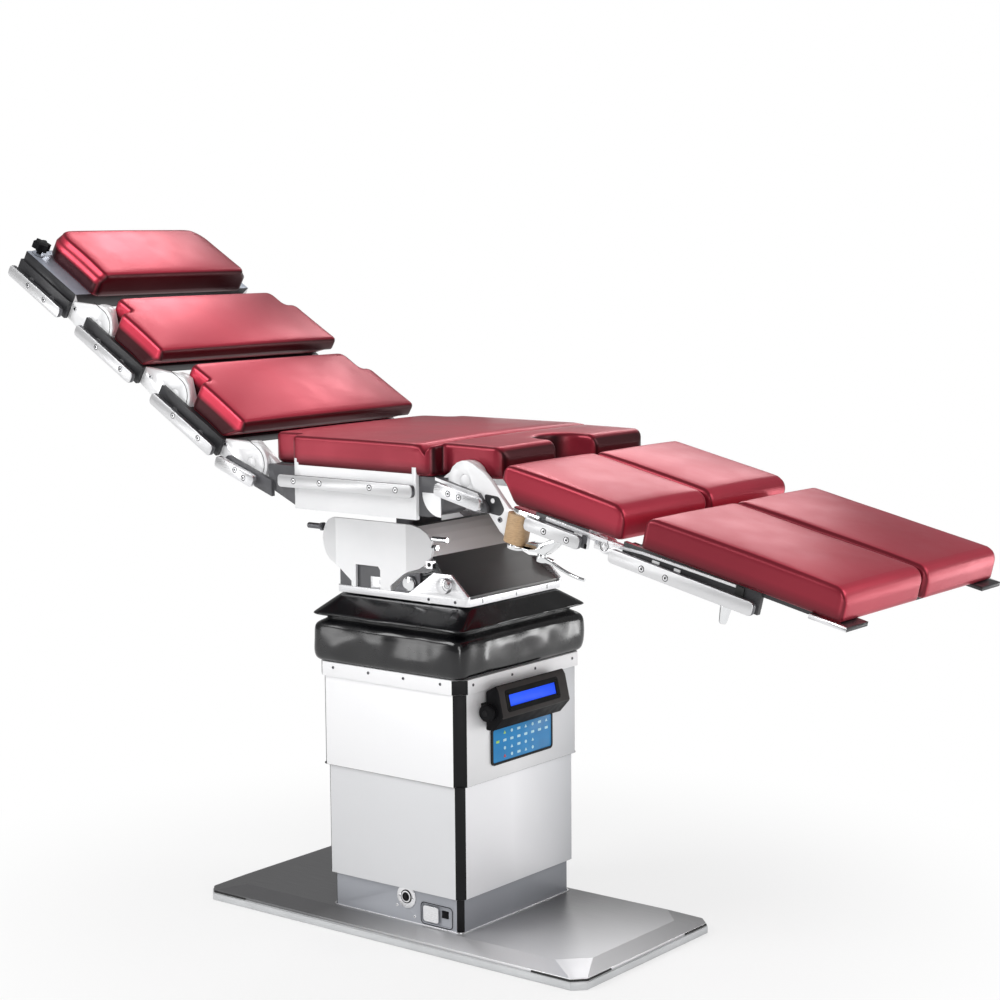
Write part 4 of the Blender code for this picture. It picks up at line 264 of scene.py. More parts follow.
# Name, painted shades on the ends, on the sides and on the far half, painted shade at the foot
VINYLS = (("vinyl", 0.10, 1.0, 0.55, MID_FOOT_SHADE), ("vinyl_head", 0.10, 1.0, 0.45, HIGH_FOOT_SHADE),
          ("vinyl_seat", 0.10, 0.14, 0.70, LOW_FOOT_SHADE), ("vinyl_thigh", 0.75, 0.30, 0.85, LOW_FOOT_SHADE),
          ("vinyl_calf", 0.75, 0.04, 0.85, LOW_FOOT_SHADE))

# Name, near colour, far colour of the painted shade, roughness
SLEEVES = (("brushed_steel", (0.90, 0.90, 0.91), (0.50, 0.51, 0.53), 0.48),
           ("sleeve_middle", (0.94, 0.94, 0.96), (0.44, 0.45, 0.47), 0.46),
           ("sleeve_lower", (0.36, 0.372, 0.405), (0.20, 0.21, 0.23), 0.46),
           # A darker copy of the middle sleeve's sheet for its near and far faces, painted shade
           ("sleeve_side_painted_shade", (0.68, 0.685, 0.70), (0.40, 0.41, 0.43), 0.46))

LONG, TALL, ROUND = (0.05, 1, 1), (1, 1, 0.05), (1, 1, 6)
BRUSHED = ((0.02, 1, 1), 2.0)

# Name, colour, roughness, metallic, more sockets, and the noise in the colour (scale, other colour), in the
# roughness (scale, spread) and in the relief (scale, strength, depth), each with its stretch at the end
PLAIN_LOOKS = (
    ("steel", (0.84, 0.84, 0.85), 0.30, 1.0, {},
     (9, (0.79, 0.79, 0.81)), (800, 0.04, *BRUSHED), (800, 0.015, 0.0002, *BRUSHED)),
    ("white_steel", (0.82, 0.82, 0.83), 0.34, 0.15, dict(Coat_Weight=0.2, Coat_Roughness=0.15),
     (11, (0.78, 0.785, 0.795)), None, (650, 0.03, 0.0003)),
    ("dark_steel", (0.14, 0.14, 0.15), 0.36, 0.7, {}, None, (500, 0.04, LONG), (300, 0.02, 0.0002, LONG)),
    ("band_sheet", (0.86, 0.86, 0.87), 0.50, 0.20, {}, None, (500, 0.03, TALL), None),
    ("rail_sheet", (0.66, 0.66, 0.67), 0.34, 0.65, {}, None, (500, 0.03, LONG), None),
    ("slate_plate", (0.50, 0.54, 0.62), 0.34, 0.4, {}, (30, (0.42, 0.46, 0.54)), None, (500, 0.05, 0.0002)),
    ("chrome", (0.80, 0.81, 0.82), 0.10, 1.0, {}, None, (60, 0.04), None),
    ("grey_paint", (0.60, 0.61, 0.62), 0.38, 0.0, {}, (12, (0.52, 0.53, 0.54)), None, (500, 0.06, 0.0003)),
    ("dark_frame", (0.070, 0.070, 0.076), 0.36, 0.0, {},
     (18, (0.095, 0.095, 0.102)), None, (900, 0.10, 0.0003)),
    ("black_frame", (0.018, 0.018, 0.020), 0.36, 0.0, {},
     (30, (0.030, 0.030, 0.033)), None, (900, 0.12, 0.0003)),
    ("rubber", (0.010, 0.010, 0.010), 0.55, 0.0, {}, None, (60, 0.08), (1100, 0.10, 0.0002)),
    ("trim_black", (0.006, 0.006, 0.007), 0.48, 0.0, dict(Specular_IOR_Level=0.20),
     None, (30, 0.05), (700, 0.04, 0.0002)),
    ("black_plastic", (0.006, 0.006, 0.007), 0.55, 0.0, dict(Specular_IOR_Level=0.10),
     None, (40, 0.06), (1400, 0.15, 0.0002)),
    ("bezel_black", (0.004, 0.004, 0.004), 0.50, 0.0, dict(Specular_IOR_Level=0.08), None, (30, 0.05), None),
    ("housing_face", (0.042, 0.038, 0.037), 0.50, 0.0, dict(Specular_IOR_Level=0.15),
     None, (40, 0.05), (1400, 0.10, 0.0002)),
    ("blue_film", (0.012, 0.26, 0.60), 0.35, 0.0,
     dict(Specular_IOR_Level=0.30, Coat_Weight=0.15, Coat_Roughness=0.2),
     (25, (0.008, 0.20, 0.48)), None, (900, 0.03, 0.0002)),
    ("screen", (0.02, 0.06, 0.55), 0.40, 0.0,
     dict(Specular_IOR_Level=0.15, Emission_Color=(0.015, 0.08, 0.90, 1.0), Emission_Strength=0.70),
     (16, (0.03, 0.10, 0.70)), None, (400, 0.02, 0.0001)),
    ("bush_tan", (0.50, 0.33, 0.18), 0.42, 0.0, {},
     (120, (0.36, 0.23, 0.12), ROUND), None, (300, 0.10, 0.0003, ROUND)),
    ("key_pale", (0.52, 0.80, 0.90), 0.35, 0.0, {}, (90, (0.44, 0.72, 0.84)), None, None),
    ("key_lime", (0.45, 0.75, 0.12), 0.35, 0.0, {}, (90, (0.36, 0.66, 0.10)), None, None),
    ("key_red", (0.75, 0.05, 0.04), 0.35, 0.0, {}, (90, (0.60, 0.04, 0.03)), None, None))


def make_looks():
    looks = [vinyl_look(*row) for row in VINYLS] + [sleeve_look(*row) for row in SLEEVES]
    looks += [plain_look(*row) for row in PLAIN_LOOKS]
    hide = Look("leatherette", (0.003, 0.003, 0.004), 0.24, Specular_IOR_Level=0.15, Coat_Weight=0.85,
                Coat_Roughness=0.14)
    hide.vary_roughness(hide.grain(20.0), 0.06)
    hide.bump(hide.cells(900), 0.04, 0.0003).bump(hide.grain(13.0, (1, 1, 0.6), 1.0), 0.42, 0.0040)
    tread = Look("base_steel", (0.17, 0.17, 0.175), 0.36, 0.60)
    lines = tread.grain(700, *BRUSHED)
    # Painted light and shade on the base cover: dark towards -X and +Y, bright towards its front corner at +X
    # and -Y, wavered by noise
    painted_light_slant = tread.plus(tread.along("X"), tread.along("Y"), -1.0)
    tread.vary_colour(tread.plus(painted_light_slant, tread.grain(3.2, detail=1.5), 0.10), (0.86, 0.86, 0.875), 0.08, 0.72)
    tread.vary_roughness(lines, 0.05).bump(lines, 0.03, 0.0002)
    gloss = Look("dark_gloss", (0.040, 0.041, 0.043), 0.40, 0.3, Coat_Weight=0.12, Coat_Roughness=0.25)
    # Painted light: lighter towards +Y
    gloss.vary_colour(gloss.along("Y"), (0.230, 0.238, 0.230), -0.15, 0.10)
    gloss.bump(gloss.grain(300), 0.03, 0.0003)
    # Painted highlight: a near-white copy of the wedge cover's sheet for its crest, greyer towards +Y
    crest = Look("crest_painted_highlight", (0.96, 0.97, 0.96), 0.35, 0.0, Coat_Weight=0.2, Coat_Roughness=0.2)
    crest.vary_colour(crest.along("Y"), (0.62, 0.62, 0.58), -0.08, 0.15).bump(crest.grain(300), 0.03, 0.0003)
    return {look.name: look.material for look in looks + [hide, tread, gloss, crest]}


# Mesh helpers

def arc(centre, radius, start, end, steps=8):
    points = []
    for step in range(steps + 1):
        angle = math.radians(start + (end - start) * step / steps)
        points.append((centre[0] + radius * math.cos(angle), centre[1] + radius * math.sin(angle)))
    return points


def circle(centre, radius, steps=32):
    return arc(centre, radius, 0, 360 - 360 / steps, steps - 1)


def rounded(half_x, half_y, radius, steps=6, centre=(0, 0)):
    """A rectangle with rounded corners."""
    points = []
    for turn, (sx, sy) in enumerate(((1, 1), (-1, 1), (-1, -1), (1, -1))):
        middle = (centre[0] + sx * (half_x - radius), centre[1] + sy * (half_y - radius))
        points += arc(middle, radius, turn * 90, turn * 90 + 90, steps)
    return points


def softened(points, radii, steps=8):
    """A polygon whose corners are rounded, each by its own radius."""
    outline = []
    count = len(points)
    for index, (corner, radius) in enumerate(zip(points, radii)):
        corner = Vector(corner)
        before = (Vector(points[index - 1]) - corner).normalized()
        after = (Vector(points[(index + 1) % count]) - corner).normalized()
        half = before.angle(after) / 2
        middle = corner + (before + after).normalized() * radius / math.sin(half)
        first = corner + before * radius / math.tan(half) - middle
        whole = first.angle_signed(corner + after * radius / math.tan(half) - middle)
        for step in range(steps + 1):
            turn = -whole * step / steps
            outline.append((middle.x + first.x * math.cos(turn) - first.y * math.sin(turn),
                            middle.y + first.x * math.sin(turn) + first.y * math.cos(turn)))
    return outline


def shrunk(points, depth):
    """An anticlockwise outline moved inwards by an even depth."""
    inner = []
    count = len(points)
    for index, point in enumerate(points):
        point = Vector(point)
        arriving = (point - Vector(points[index - 1])).normalized()
        leaving = (Vector(points[(index + 1) % count]) - point).normalized()
        normals = Vector((-arriving.y, arriving.x)) + Vector((-leaving.y, leaving.x))
        inner.append(tuple(point + normals * (2 * depth / normals.length_squared)))
    return inner


def turned_by(axis):
    """A matrix whose Z axis is the given direction."""
    return Vector(axis).to_track_quat("Z", "Y").to_matrix().to_4x4()


def at(place, axis=(0, 0, 1)):
    return Matrix.Translation(Vector(place)) @ turned_by(axis)


def skin(rings, closed_ends=True):
    """Faces between rings of points."""
    mesh = bmesh.new()
    rows = [[mesh.verts.new(point) for point in ring] for ring in rings]
    for low, high in zip(rows, rows[1:]):
        for index in range(len(low)):
            after = (index + 1) % len(low)
            mesh.faces.new((low[index], low[after], high[after], high[index]))
    if closed_ends:
        mesh.faces.new(rows[0])
        mesh.faces.new(rows[-1])
    bmesh.ops.recalc_face_normals(mesh, faces=mesh.faces)
    return mesh


def prism(outline, low, high, axis="Z"):
    """An outline pushed out along Z, or one in (x, z) pushed out along Y."""
    place = {"Z": lambda a, b, c: (a, b, c), "Y": lambda a, b, c: (a, c, b)}[axis]
    return skin([[place(a, b, height) for a, b in outline] for height in (low, high)])


def lathe(profile, steps=32):
    """A profile of (radius, height) pairs turned about Z."""
    return skin([[(x, y, height) for x, y in circle((0, 0), max(radius, 1e-5), steps)]
                 for radius, height in profile])


def pipe(points, radius, steps=12):
    """A round bar along points."""
    rings = []
    for index, point in enumerate(points):
        before = Vector(points[max(0, index - 1)])
        after = Vector(points[min(len(points) - 1, index + 1)])
        turn = turned_by(after - before).to_3x3()
        rings.append([tuple(Vector(point) + turn @ Vector((x, y, 0)))
                      for x, y in circle((0, 0), radius, steps)])
    return skin(rings)


def band(outline, depth, low, high):
    """A flat ring that follows an outline."""
    inner = shrunk(outline, depth)
    rings = [[(x, y, z) for x, y in ring] for ring, z in
             ((outline, low), (outline, high), (inner, high), (inner, low), (outline, low))]
    mesh = skin(rings, closed_ends=False)
    bmesh.ops.remove_doubles(mesh, verts=mesh.verts, dist=1e-6)
    return mesh


def hex_head(radius, height):
    return lathe([(radius * 0.9, 0), (radius, height * 0.12), (radius, height * 0.8),
                  (radius * 0.86, height)], 6)


def moved(mesh, matrix):
    bmesh.ops.transform(mesh, matrix=matrix, verts=mesh.verts)
    return mesh


def blended(*meshes):
    """Several meshes as one."""
    whole = bmesh.new()
    scratch = bpy.data.meshes.new("scratch")
    for mesh in meshes:
        mesh.to_mesh(scratch)
        mesh.free()
        whole.from_mesh(scratch)
    bpy.data.meshes.remove(scratch)
    return whole


def ease_edges(item, width, angle):
    """Rounds an object's edges that are sharper than an angle in degrees."""
    bevel = item.modifiers.new("ease", "BEVEL")
    bevel.width = width
    bevel.segments = 2
    bevel.limit_method = "ANGLE"
    bevel.angle_limit = math.radians(angle)
    bevel.harden_normals = True


def piece(name, mesh, look, body, ease=0.0, angle=35, matrix=None, also=()):
    """An object from a mesh, riding on a body, with softened edges."""
    if matrix is not None:
        moved(mesh, matrix)
    data = bpy.data.meshes.new(name)
    mesh.to_mesh(data)
    mesh.free()
    for key in (look, *also):
        data.materials.append(LOOKS[key])
    data.shade_smooth()
    data.set_sharp_from_angle(angle=math.radians(angle))
    made = bpy.data.objects.new(name, data)
    bpy.context.scene.collection.objects.link(made)
    if ease:
        ease_edges(made, ease, angle)
    if body:
        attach(made, body)
    return made


def facing(name, direction):
    """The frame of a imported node's outermost flat face: X level, Y up, Z out, at the middle of the face."""
    wanted = Vector(direction)
    data = nodes[name].data
    best = max((polygon for polygon in data.polygons if polygon.normal.dot(wanted) > 0.8),
               key=lambda polygon: polygon.area)
    out = best.normal.copy()
    level = Vector((0, 0, 1)).cross(out).normalized()
    reach = out.dot(best.center)
    flat = [data.vertices[index].co for polygon in data.polygons if polygon.normal.dot(out) > 0.999
            and abs(out.dot(polygon.center) - reach) < 0.0005 for index in polygon.vertices]
    upward = out.cross(level)
    middle = out * reach
    for along in (level, upward):
        reaches = [along.dot(place) for place in flat]
        middle += along * (min(reaches) + max(reaches)) / 2
    matrix = Matrix((level, upward, out)).transposed().to_4x4()
    matrix.translation = middle
    return matrix


# Frames of the table's sections, each at its first hinge

LOWER = Matrix.Translation((-0.300, 0, HINGE_Z)) @ Matrix.Rotation(BACK_SLOPE, 4, "Y")
UPPER = LOWER @ Matrix.Translation((-0.251, 0, 0))
HEAD = UPPER @ Matrix.Translation((-0.266, 0, 0))
SEAT = Matrix.Translation((0, 0, HINGE_Z))
LEG = Matrix.Translation((0.252, 0, HINGE_Z)) @ Matrix.Rotation(LEG_SLOPE, 4, "Y")


# CAD nodes that stay

EASE = 0.0008
OTHER_EASES = {"base_frame": 0.0015, "base_cover": 0.0012,
               "tilt_cheek_right": 0.0010, "tilt_cheek_left": 0.0010,
               "keypad": 0.0006, "display_screen": 0.0003, "power_switch": 0.0005, "service_panel": 0.0005,
               "lower_sleeve": 0.0006, "middle_sleeve": 0.0006, "upper_sleeve": 0.0006, "rim_band": 0.0006,
               "wedge_cover": 0.0005, "display_bracket": 0.0005}
FOLDED_SHEETS = ("base_cover", "wedge_cover", "tilt_cheek_right", "tilt_cheek_left")
OWN_LOOKS = {"middle_sleeve": "sleeve_middle", "lower_sleeve": "sleeve_lower",
             "service_panel": "sleeve_lower",
             "base_cover": "base_steel", "rim_band": "band_sheet"}


def dress(name, look, rules=()):
    """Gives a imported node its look, and other looks to the faces that a rule picks."""
    data = nodes[name].data
    data.materials.clear()
    data.materials.append(LOOKS[look])
    for index, (other, test) in enumerate(rules):
        data.materials.append(LOOKS[other])
        for polygon in data.polygons:
            if polygon.material_index == 0 and test(polygon.center, polygon.normal):
                polygon.material_index = index + 1
    for polygon in data.polygons:
        polygon.use_smooth = name not in FOLDED_SHEETS


def within(matrix, test):
    """A face test in a section's own frame: along it, out from the middle, and up."""
    inverse = matrix.inverted()

    def rule(centre, normal):
        place = inverse @ centre
        return test(place.x, abs(place.y), place.z, inverse.to_3x3() @ normal)
    return rule


def standing(test):
    """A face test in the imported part's own frame."""
    return lambda centre, normal: test(centre.x, abs(centre.y), centre.z, normal)


def back_rules(matrix, start, length=None):
    """White hinge cheeks and steel spacers on a black frame that runs towards -X."""
    far = length - 0.052 if length else math.inf
    return (("white_steel", within(matrix, lambda x, y, z, n: ARM_INSIDE < y < 0.2603
                                   and (-x < start + 0.003 or -x > far)
                                   and (abs(z) > 0.0135 or y > 0.2365 or -x < start))),
            ("steel", within(matrix, lambda x, y, z, n: y > PAST_FRAMES)))


def make_rules():
    """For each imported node, the other looks on it and the tests of their faces."""
    rules = {
        "lower_back_frame": back_rules(LOWER, 0.082, 0.251),
        "upper_back_frame": back_rules(UPPER, 0.100, 0.266),
        "head_rest_frame": back_rules(HEAD, 0.090) + (
            ("slate_plate", within(HEAD, lambda x, y, z, n: z > 0.0215 and n.z > 0.9)),),
        "seat_frame": (
            ("white_steel",
             standing(lambda x, y, z, n: PAST_ARMS < y < PAST_FRAMES and -0.1712 < x < 0.1422)),
            ("white_steel",
             standing(lambda x, y, z, n: ARM_INSIDE < y < PAST_ARMS and (x < -0.251 or x > 0.204))),
            ("dark_frame", standing(lambda x, y, z, n: PAST_ARMS < y < PAST_FRAMES)),
            ("steel", standing(lambda x, y, z, n: y > PAST_FRAMES))),
        "head_plate": (("dark_steel", standing(lambda x, y, z, n: z > 0.6972 and y < 0.1459)),),
        # The crest's faces take the painted highlight
        "wedge_cover": (("crest_painted_highlight", standing(lambda x, y, z, n: n.x > 0.30 and z > 0.771)),),
        "display_housing": (("housing_face", lambda centre, normal: normal.x > 0.8),)}
    for name in ("lower_sleeve", "middle_sleeve", "upper_sleeve", "rim_band"):
        rules[name] = (("trim_black", standing(lambda x, y, z, n: abs(n.x * n.y) > 0.3)),)
    # Painted shade: the middle sleeve's near and far faces take a darker copy of its sheet
    rules["middle_sleeve"] += (("sleeve_side_painted_shade", standing(lambda x, y, z, n: abs(n.y) > 0.9)),)
    for word, side in SIDES:
        rules["thigh_frame_" + word] = (
            ("chrome", within(LEG, lambda x, y, z, n: x < 0.181 or (z < -0.0375 and y > 0.24))),
            ("dark_frame", within(LEG, lambda x, y, z, n: 0.2690 < y < PAST_FRAMES and n.z < 0.5)),
            ("steel", within(LEG, lambda x, y, z, n: y > 0.2595 or x > 0.3025)))
        rules["calf_frame_" + word] = (
            ("steel", within(LEG, lambda x, y, z, n: y > PAST_FRAMES or (x < 0.377 and z < -0.004))),
            ("steel", within(LEG, lambda x, y, z, n: y > 0.2595 and n.z > 0.9 and x < 0.67)))
    for name in nodes:
        if "_rail_" in name:
            # Painted shade: the rails' top, bottom and end faces are dark, outlining them
            rules[name] = (("dark_steel", lambda centre, normal: abs(normal.y) < 0.5),)
    return rules


def dress_frame():
    slots = {part["node"]: part["material_slot"] for part in frame["record"]["subparts"]}
    rules = make_rules()
    for name, item in nodes.items():
        if "cushion" in name or name == "bellows":
            continue
        look = "rail_sheet" if "_rail_" in name else OWN_LOOKS.get(name, slots[name])
        dress(name, look, rules.get(name, ()))
        weld = item.modifiers.new("weld", "WELD")
        weld.merge_threshold = 0.00001
        ease_edges(item, OTHER_EASES.get(name, EASE), 40)


# Upholstery

# The rounding at a cushion's top and at its foot, the share of its height where its sides begin to lean in,
# the top's sag towards its edges, how far the sides draw in between their ends, and the ripple of the cover
ROLL = 0.010
FOOT_ROLL = 0.008
WAIST_SHARE = 0.60
TOP_SAG = 0.005
DRAWN_IN = 0.0035
RIPPLE = 0.0005
CUT_STEP = 0.022
CORNER = 0.012


def pad(name, body, outline, z_range, matrix, replaced, fall=(0.008, 0.012), undercut=0.0, floor_tilt=0.0,
        top_share=1.0, look="vinyl"):
    """A cushion of taut vinyl over foam: crowned top, sides drawn in, and ends over which the top falls away.

    The fall is the radius at the end beside the hinge and at the far end.
    """
    low, high = z_range
    waist = low + (high - low) * WAIST_SHARE
    upper = [(x, y * top_share) for x, y in outline]
    middle = [(x, y * (1 + top_share) / 2) for x, y in outline]
    rings = []
    for share in (0.0, 0.5, 1.0):
        angle = share * math.pi / 2
        rings.append((shrunk(outline, FOOT_ROLL * (1 - math.sin(angle))),
                      low + FOOT_ROLL * (1 - math.cos(angle))))
    for share in (0.33, 0.66, 1.0):
        rings.append((outline, low + FOOT_ROLL + (waist - low - FOOT_ROLL) * share))
    rings.append((middle, (waist + high - ROLL) / 2))
    rings.append((upper, high - ROLL))
    for share in (0.2, 0.4, 0.6, 0.8, 1.0):
        angle = share * math.pi / 2
        rings.append((shrunk(upper, ROLL * (1 - math.cos(angle))), high - ROLL + ROLL * math.sin(angle)))
    mesh = skin([[(x, y, height) for x, y in ring] for ring, height in rings])
    xs, ys = ([point[axis] for point in outline] for axis in (0, 1))
    centre_x, half_x = (min(xs) + max(xs)) / 2, (max(xs) - min(xs)) / 2
    centre_y, half_y = (min(ys) + max(ys)) / 2, (max(ys) - min(ys)) / 2
    start_x, end_x = min(xs, key=abs), max(xs, key=abs)
    inward = math.copysign(1, end_x - start_x)
    cuts = []
    for axis, centre, half in ((0, centre_x, half_x), (1, centre_y, half_y)):
        count = max(3, round(2 * half / CUT_STEP))
        cuts += [(axis, centre - half + 2 * half * index / count) for index in range(1, count)]
    for end, radius, sense in ((start_x, fall[0], inward), (end_x, fall[1], -inward)):
        cuts += [(0, end + sense * radius * share) for share in (0.05, 0.14, 0.27, 0.43, 0.62, 0.85)]
    for axis, place in cuts:
        point = [place if index == axis else 0 for index in range(3)]
        normal = [1 if index == axis else 0 for index in range(3)]
        geometry = mesh.verts[:] + mesh.edges[:] + mesh.faces[:]
        bmesh.ops.bisect_plane(mesh, geom=geometry, plane_co=point, plane_no=normal)
    for vert in mesh.verts:
        across = (vert.co.y - centre_y) / half_y
        lengthwise = (vert.co.x - centre_x) / half_x
        rise = (vert.co.z - low) / (high - low)
        crown = (max(0.0, 1 - across ** 2) * max(0.0, 1 - lengthwise ** 2)) ** 0.6
        if rise > WAIST_SHARE + 0.001:
            vert.co.z -= TOP_SAG * (1 - crown) * (rise - WAIST_SHARE) / (1 - WAIST_SHARE)
        vert.co.y -= math.copysign(DRAWN_IN * max(0.0, 1 - lengthwise ** 2) * abs(across), across)
        near = max(0.0, 1 - abs(vert.co.x - start_x) / (half_x * 0.8))
        if undercut and rise < WAIST_SHARE:
            vert.co.x += math.copysign(undercut, centre_x - start_x) * near * (1 - rise / WAIST_SHARE)
        if floor_tilt and rise < WAIST_SHARE:
            vert.co.z -= floor_tilt * max(0.0, 1 - abs(vert.co.x - start_x) / (half_x * 2)) * (1 - rise)
        if rise > 0.05:
            ripple = noise.noise(Vector((vert.co.x * 9, vert.co.y * 9, vert.co.z * 9 + 3.7)))
            vert.co.z += RIPPLE * ripple * min(1.0, rise)
        for end, radius in ((start_x, fall[0]), (end_x, fall[1])):
            short = radius - min(radius, abs(vert.co.x - end))
            drop = radius - math.sqrt(max(0.0, radius ** 2 - short ** 2))
            vert.co.z -= drop * max(0.0, vert.co.z - low) / (high - low)
    bmesh.ops.triangulate(mesh, faces=[face for face in mesh.faces if len(face.verts) > 4])
    made = piece(name, mesh, look, None, angle=75)
    made.matrix_world = matrix
    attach(made, body)
    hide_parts(replaced)


def plan(out, corners):
    """An anticlockwise outline from half of its corners: place along the section, half width, radius."""
    whole = [((out * x, -y), radius) for x, y, radius in corners]
    whole += [((out * x, y), radius) for x, y, radius in reversed(corners)]
    if out < 0:
        whole.reverse()
    return softened([point for point, radius in whole], [radius for point, radius in whole])


def make_cushions():
    for prefix, matrix, start, end, notch, half in (("lower_back", LOWER, 0.050, 0.269, 0.201, 0.2665),
                                                    ("upper_back", UPPER, 0.066, 0.274, 0.216, 0.2700)):
        outline = plan(-1, [(start, half, CORNER), (notch, half, CORNER * 1.5),
                            (notch, ARM_INSIDE, CORNER * 0.8),
                            (end, ARM_INSIDE, CORNER * 2)])
        pad("pad_" + prefix, prefix, outline, (0.0035, 0.071), matrix, prefix + "_cushion", undercut=0.040)
    outline = plan(-1, [(0.074, 0.226, CORNER * 1.5), (0.270, 0.226, 0.062)])
    pad("pad_head", "head_rest", outline, (0.0223, 0.084), HEAD, "head_rest_cushion", (0.006, 0.022),
        top_share=0.945, look="vinyl_head")
    corners = [(-0.262, ARM_INSIDE, CORNER * 2), (-0.182, ARM_INSIDE, CORNER * 0.8),
               (-0.182, 0.272, CORNER * 1.5), (0.180, 0.272, CORNER * 1.5),
               (0.180, ARM_INSIDE, CORNER * 0.8), (0.322, ARM_INSIDE, CORNER * 2),
               (0.322, 0.062, CORNER), (0.237, 0.062, 0.0558)]
    pad("pad_seat", "seat", plan(1, corners), (0.0035, 0.068), SEAT, "seat_cushion", (0.022, 0.022),
        look="vinyl_seat")
    for word, side in SIDES:
        for prefix, start, end, outer, low, fall, undercut, tilt in (
                ("thigh", 0.095, 0.374, 0.280, 0.0030, (0.016, 0.030), 0.040, 0.0085),
                ("calf", 0.418, 0.827, 0.284, 0.0045, (0.020, 0.026), 0.0, 0.0)):
            near, far = sorted((side * 0.006, side * outer))
            outline = softened([(start, near), (end, near), (end, far), (start, far)], [CORNER] * 4)
            pad("pad_%s_%s" % (prefix, word), "%s_%s" % (prefix, word), outline, (low, 0.068), LEG,
                "%s_cushion_%s" % (prefix, word), fall, undercut, tilt, look="vinyl_" + prefix)


# Bellows

# Half sizes of the column and of the plate over the bellows, the folds' depth, how far the upper fold's lip
# stands out, the lip's share of the height, and the corners' radius
COLUMN_HALVES = (0.185, 0.1966)
NECK_HALVES = (0.166, 0.147)
FOLD_DEPTH = 0.0115
LIP = 0.0092
LIP_SHARE = 0.745
BELLOWS_CORNER = 0.018
CELL = 0.011

# Share of the height, reach in folds' depths or None on the slope above the lip, and share of the puckering
BELLOWS_ROWS = (
    (0.0, 0.1, 0.0), (0.03, 0.62, 0.2), (0.07, 0.85, 0.5), (0.16, 1.0, 1.0), (0.30, 1.02, 1.0),
    (0.42, 1.0, 0.9), (0.50, 0.92, 0.8), (0.555, 0.68, 0.6), (0.59, 0.2, 0.4), (0.62, -0.5, 0.3),
    (0.65, -0.95, 0.2), (0.672, -0.5, 0.3), (0.69, 0.35, 0.5), (0.705, 0.85, 0.6), (0.722, 1.02, 0.6),
    (0.745, 0.80, 0.5), (0.80, None, 0.4), (0.90, None, 0.2), (1.0, None, 0.0))


def divided(ring):
    """A closed ring with more points along its long stretches."""
    points = []
    for point, after in zip(ring, ring[1:] + ring[:1]):
        pieces = max(1, round((after - point).length / CELL))
        points += [point.lerp(after, part / pieces) for part in range(pieces)]
    return points


def evened(ring, count):
    """A closed ring's outline as a number of points at even steps."""
    lengths = [0.0]
    for point, after in zip(ring, ring[1:] + ring[:1]):
        lengths.append(lengths[-1] + (after - point).length)
    points = []
    cursor = 0
    for index in range(count):
        want = lengths[-1] * index / count
        while lengths[cursor + 1] < want:
            cursor += 1
        part = (want - lengths[cursor]) / max(1e-9, lengths[cursor + 1] - lengths[cursor])
        points.append(ring[cursor].lerp(ring[(cursor + 1) % len(ring)], part))
    return points


def make_bellows():
    """Glossy folds over the sleeve's top, puckered along their edges."""
    low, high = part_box("bellows")
    foot, rise = low.z, high.z - low.z
    rings = []
    for share, out, pucker in BELLOWS_ROWS:
        if out is None:
            blend = (share - LIP_SHARE) / (1 - LIP_SHARE)
            halves = [(half + LIP) * (1 - blend) + neck * blend
                      for half, neck in zip(COLUMN_HALVES, NECK_HALVES)]
        else:
            halves = [half + FOLD_DEPTH * out for half in COLUMN_HALVES]
        rings.append(divided([Vector(point) for point in rounded(*halves, BELLOWS_CORNER, 6)]))
    count = max(len(ring) for ring in rings)
    rows = []
    for (share, out, pucker), ring in zip(BELLOWS_ROWS, rings):
        row = []
        height = foot + rise * share
        for point in evened(ring, count):
            fold = noise.noise(Vector((point.x * 11, point.y * 11, height * 16)))
            fine = noise.noise(Vector((point.x * 27, point.y * 27, height * 30 + 5)))
            push = point.normalized() * (0.0052 * fold + 0.0014 * fine) * pucker
            lift = 0.0040 * pucker * noise.noise(Vector((point.x * 18 + 7, point.y * 18, height * 30)))
            row.append((point.x + push.x, point.y + push.y, height + lift))
        rows.append(row)
    made = piece("bellows_skin", skin(rows, closed_ends=False), "leatherette", None, angle=80)
    solid = made.modifiers.new("wall", "SOLIDIFY")
    solid.thickness = 0.0022
    solid.offset = -1
    smooth = made.modifiers.new("smooth", "SUBSURF")
    smooth.levels = smooth.render_levels = 1
    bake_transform(made)
    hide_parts("bellows")


# Screws, pins and trim

# Radius and height of each kind of screw, and the width of its black rim of painted shade
RAIL_SCREW = (0.0048, 0.0006, 0.0014)
HINGE_BOLT = (0.0052, 0.0022)
ARM_BOLT = (0.0052, 0.0020)
SHEET_SCREW = (0.0030, 0.0012)
PLATE_SCREW = (0.0032, 0.0008)


def bolt(radius, height, rim=0.0, steps=20):
    """A socket screw: a head whose recess is black, painted shade, and a black rim of painted shade where it
    is countersunk.
    """
    profile = [(radius + rim, 0), (radius + rim, 0.0002), (radius, 0.0002), (radius, height * 0.6),
               (radius * 0.84, height), (radius * 0.46, height), (radius * 0.40, height * 0.4),
               (0, height * 0.4)]
    mesh = lathe(profile, steps)
    mesh.faces.ensure_lookup_table()
    # The recess and the rim take the black look as painted shade
    for row in ((1, 5, 6) if rim else (5, 6)):
        for face in mesh.faces[row * steps:(row + 1) * steps]:
            face.material_index = 1
    return mesh


def screws(name, body, spots, kind, look="steel"):
    meshes = [moved(bolt(*kind), spot) for spot in spots]
    piece(name, blended(*meshes), look, body, also=("trim_black",))


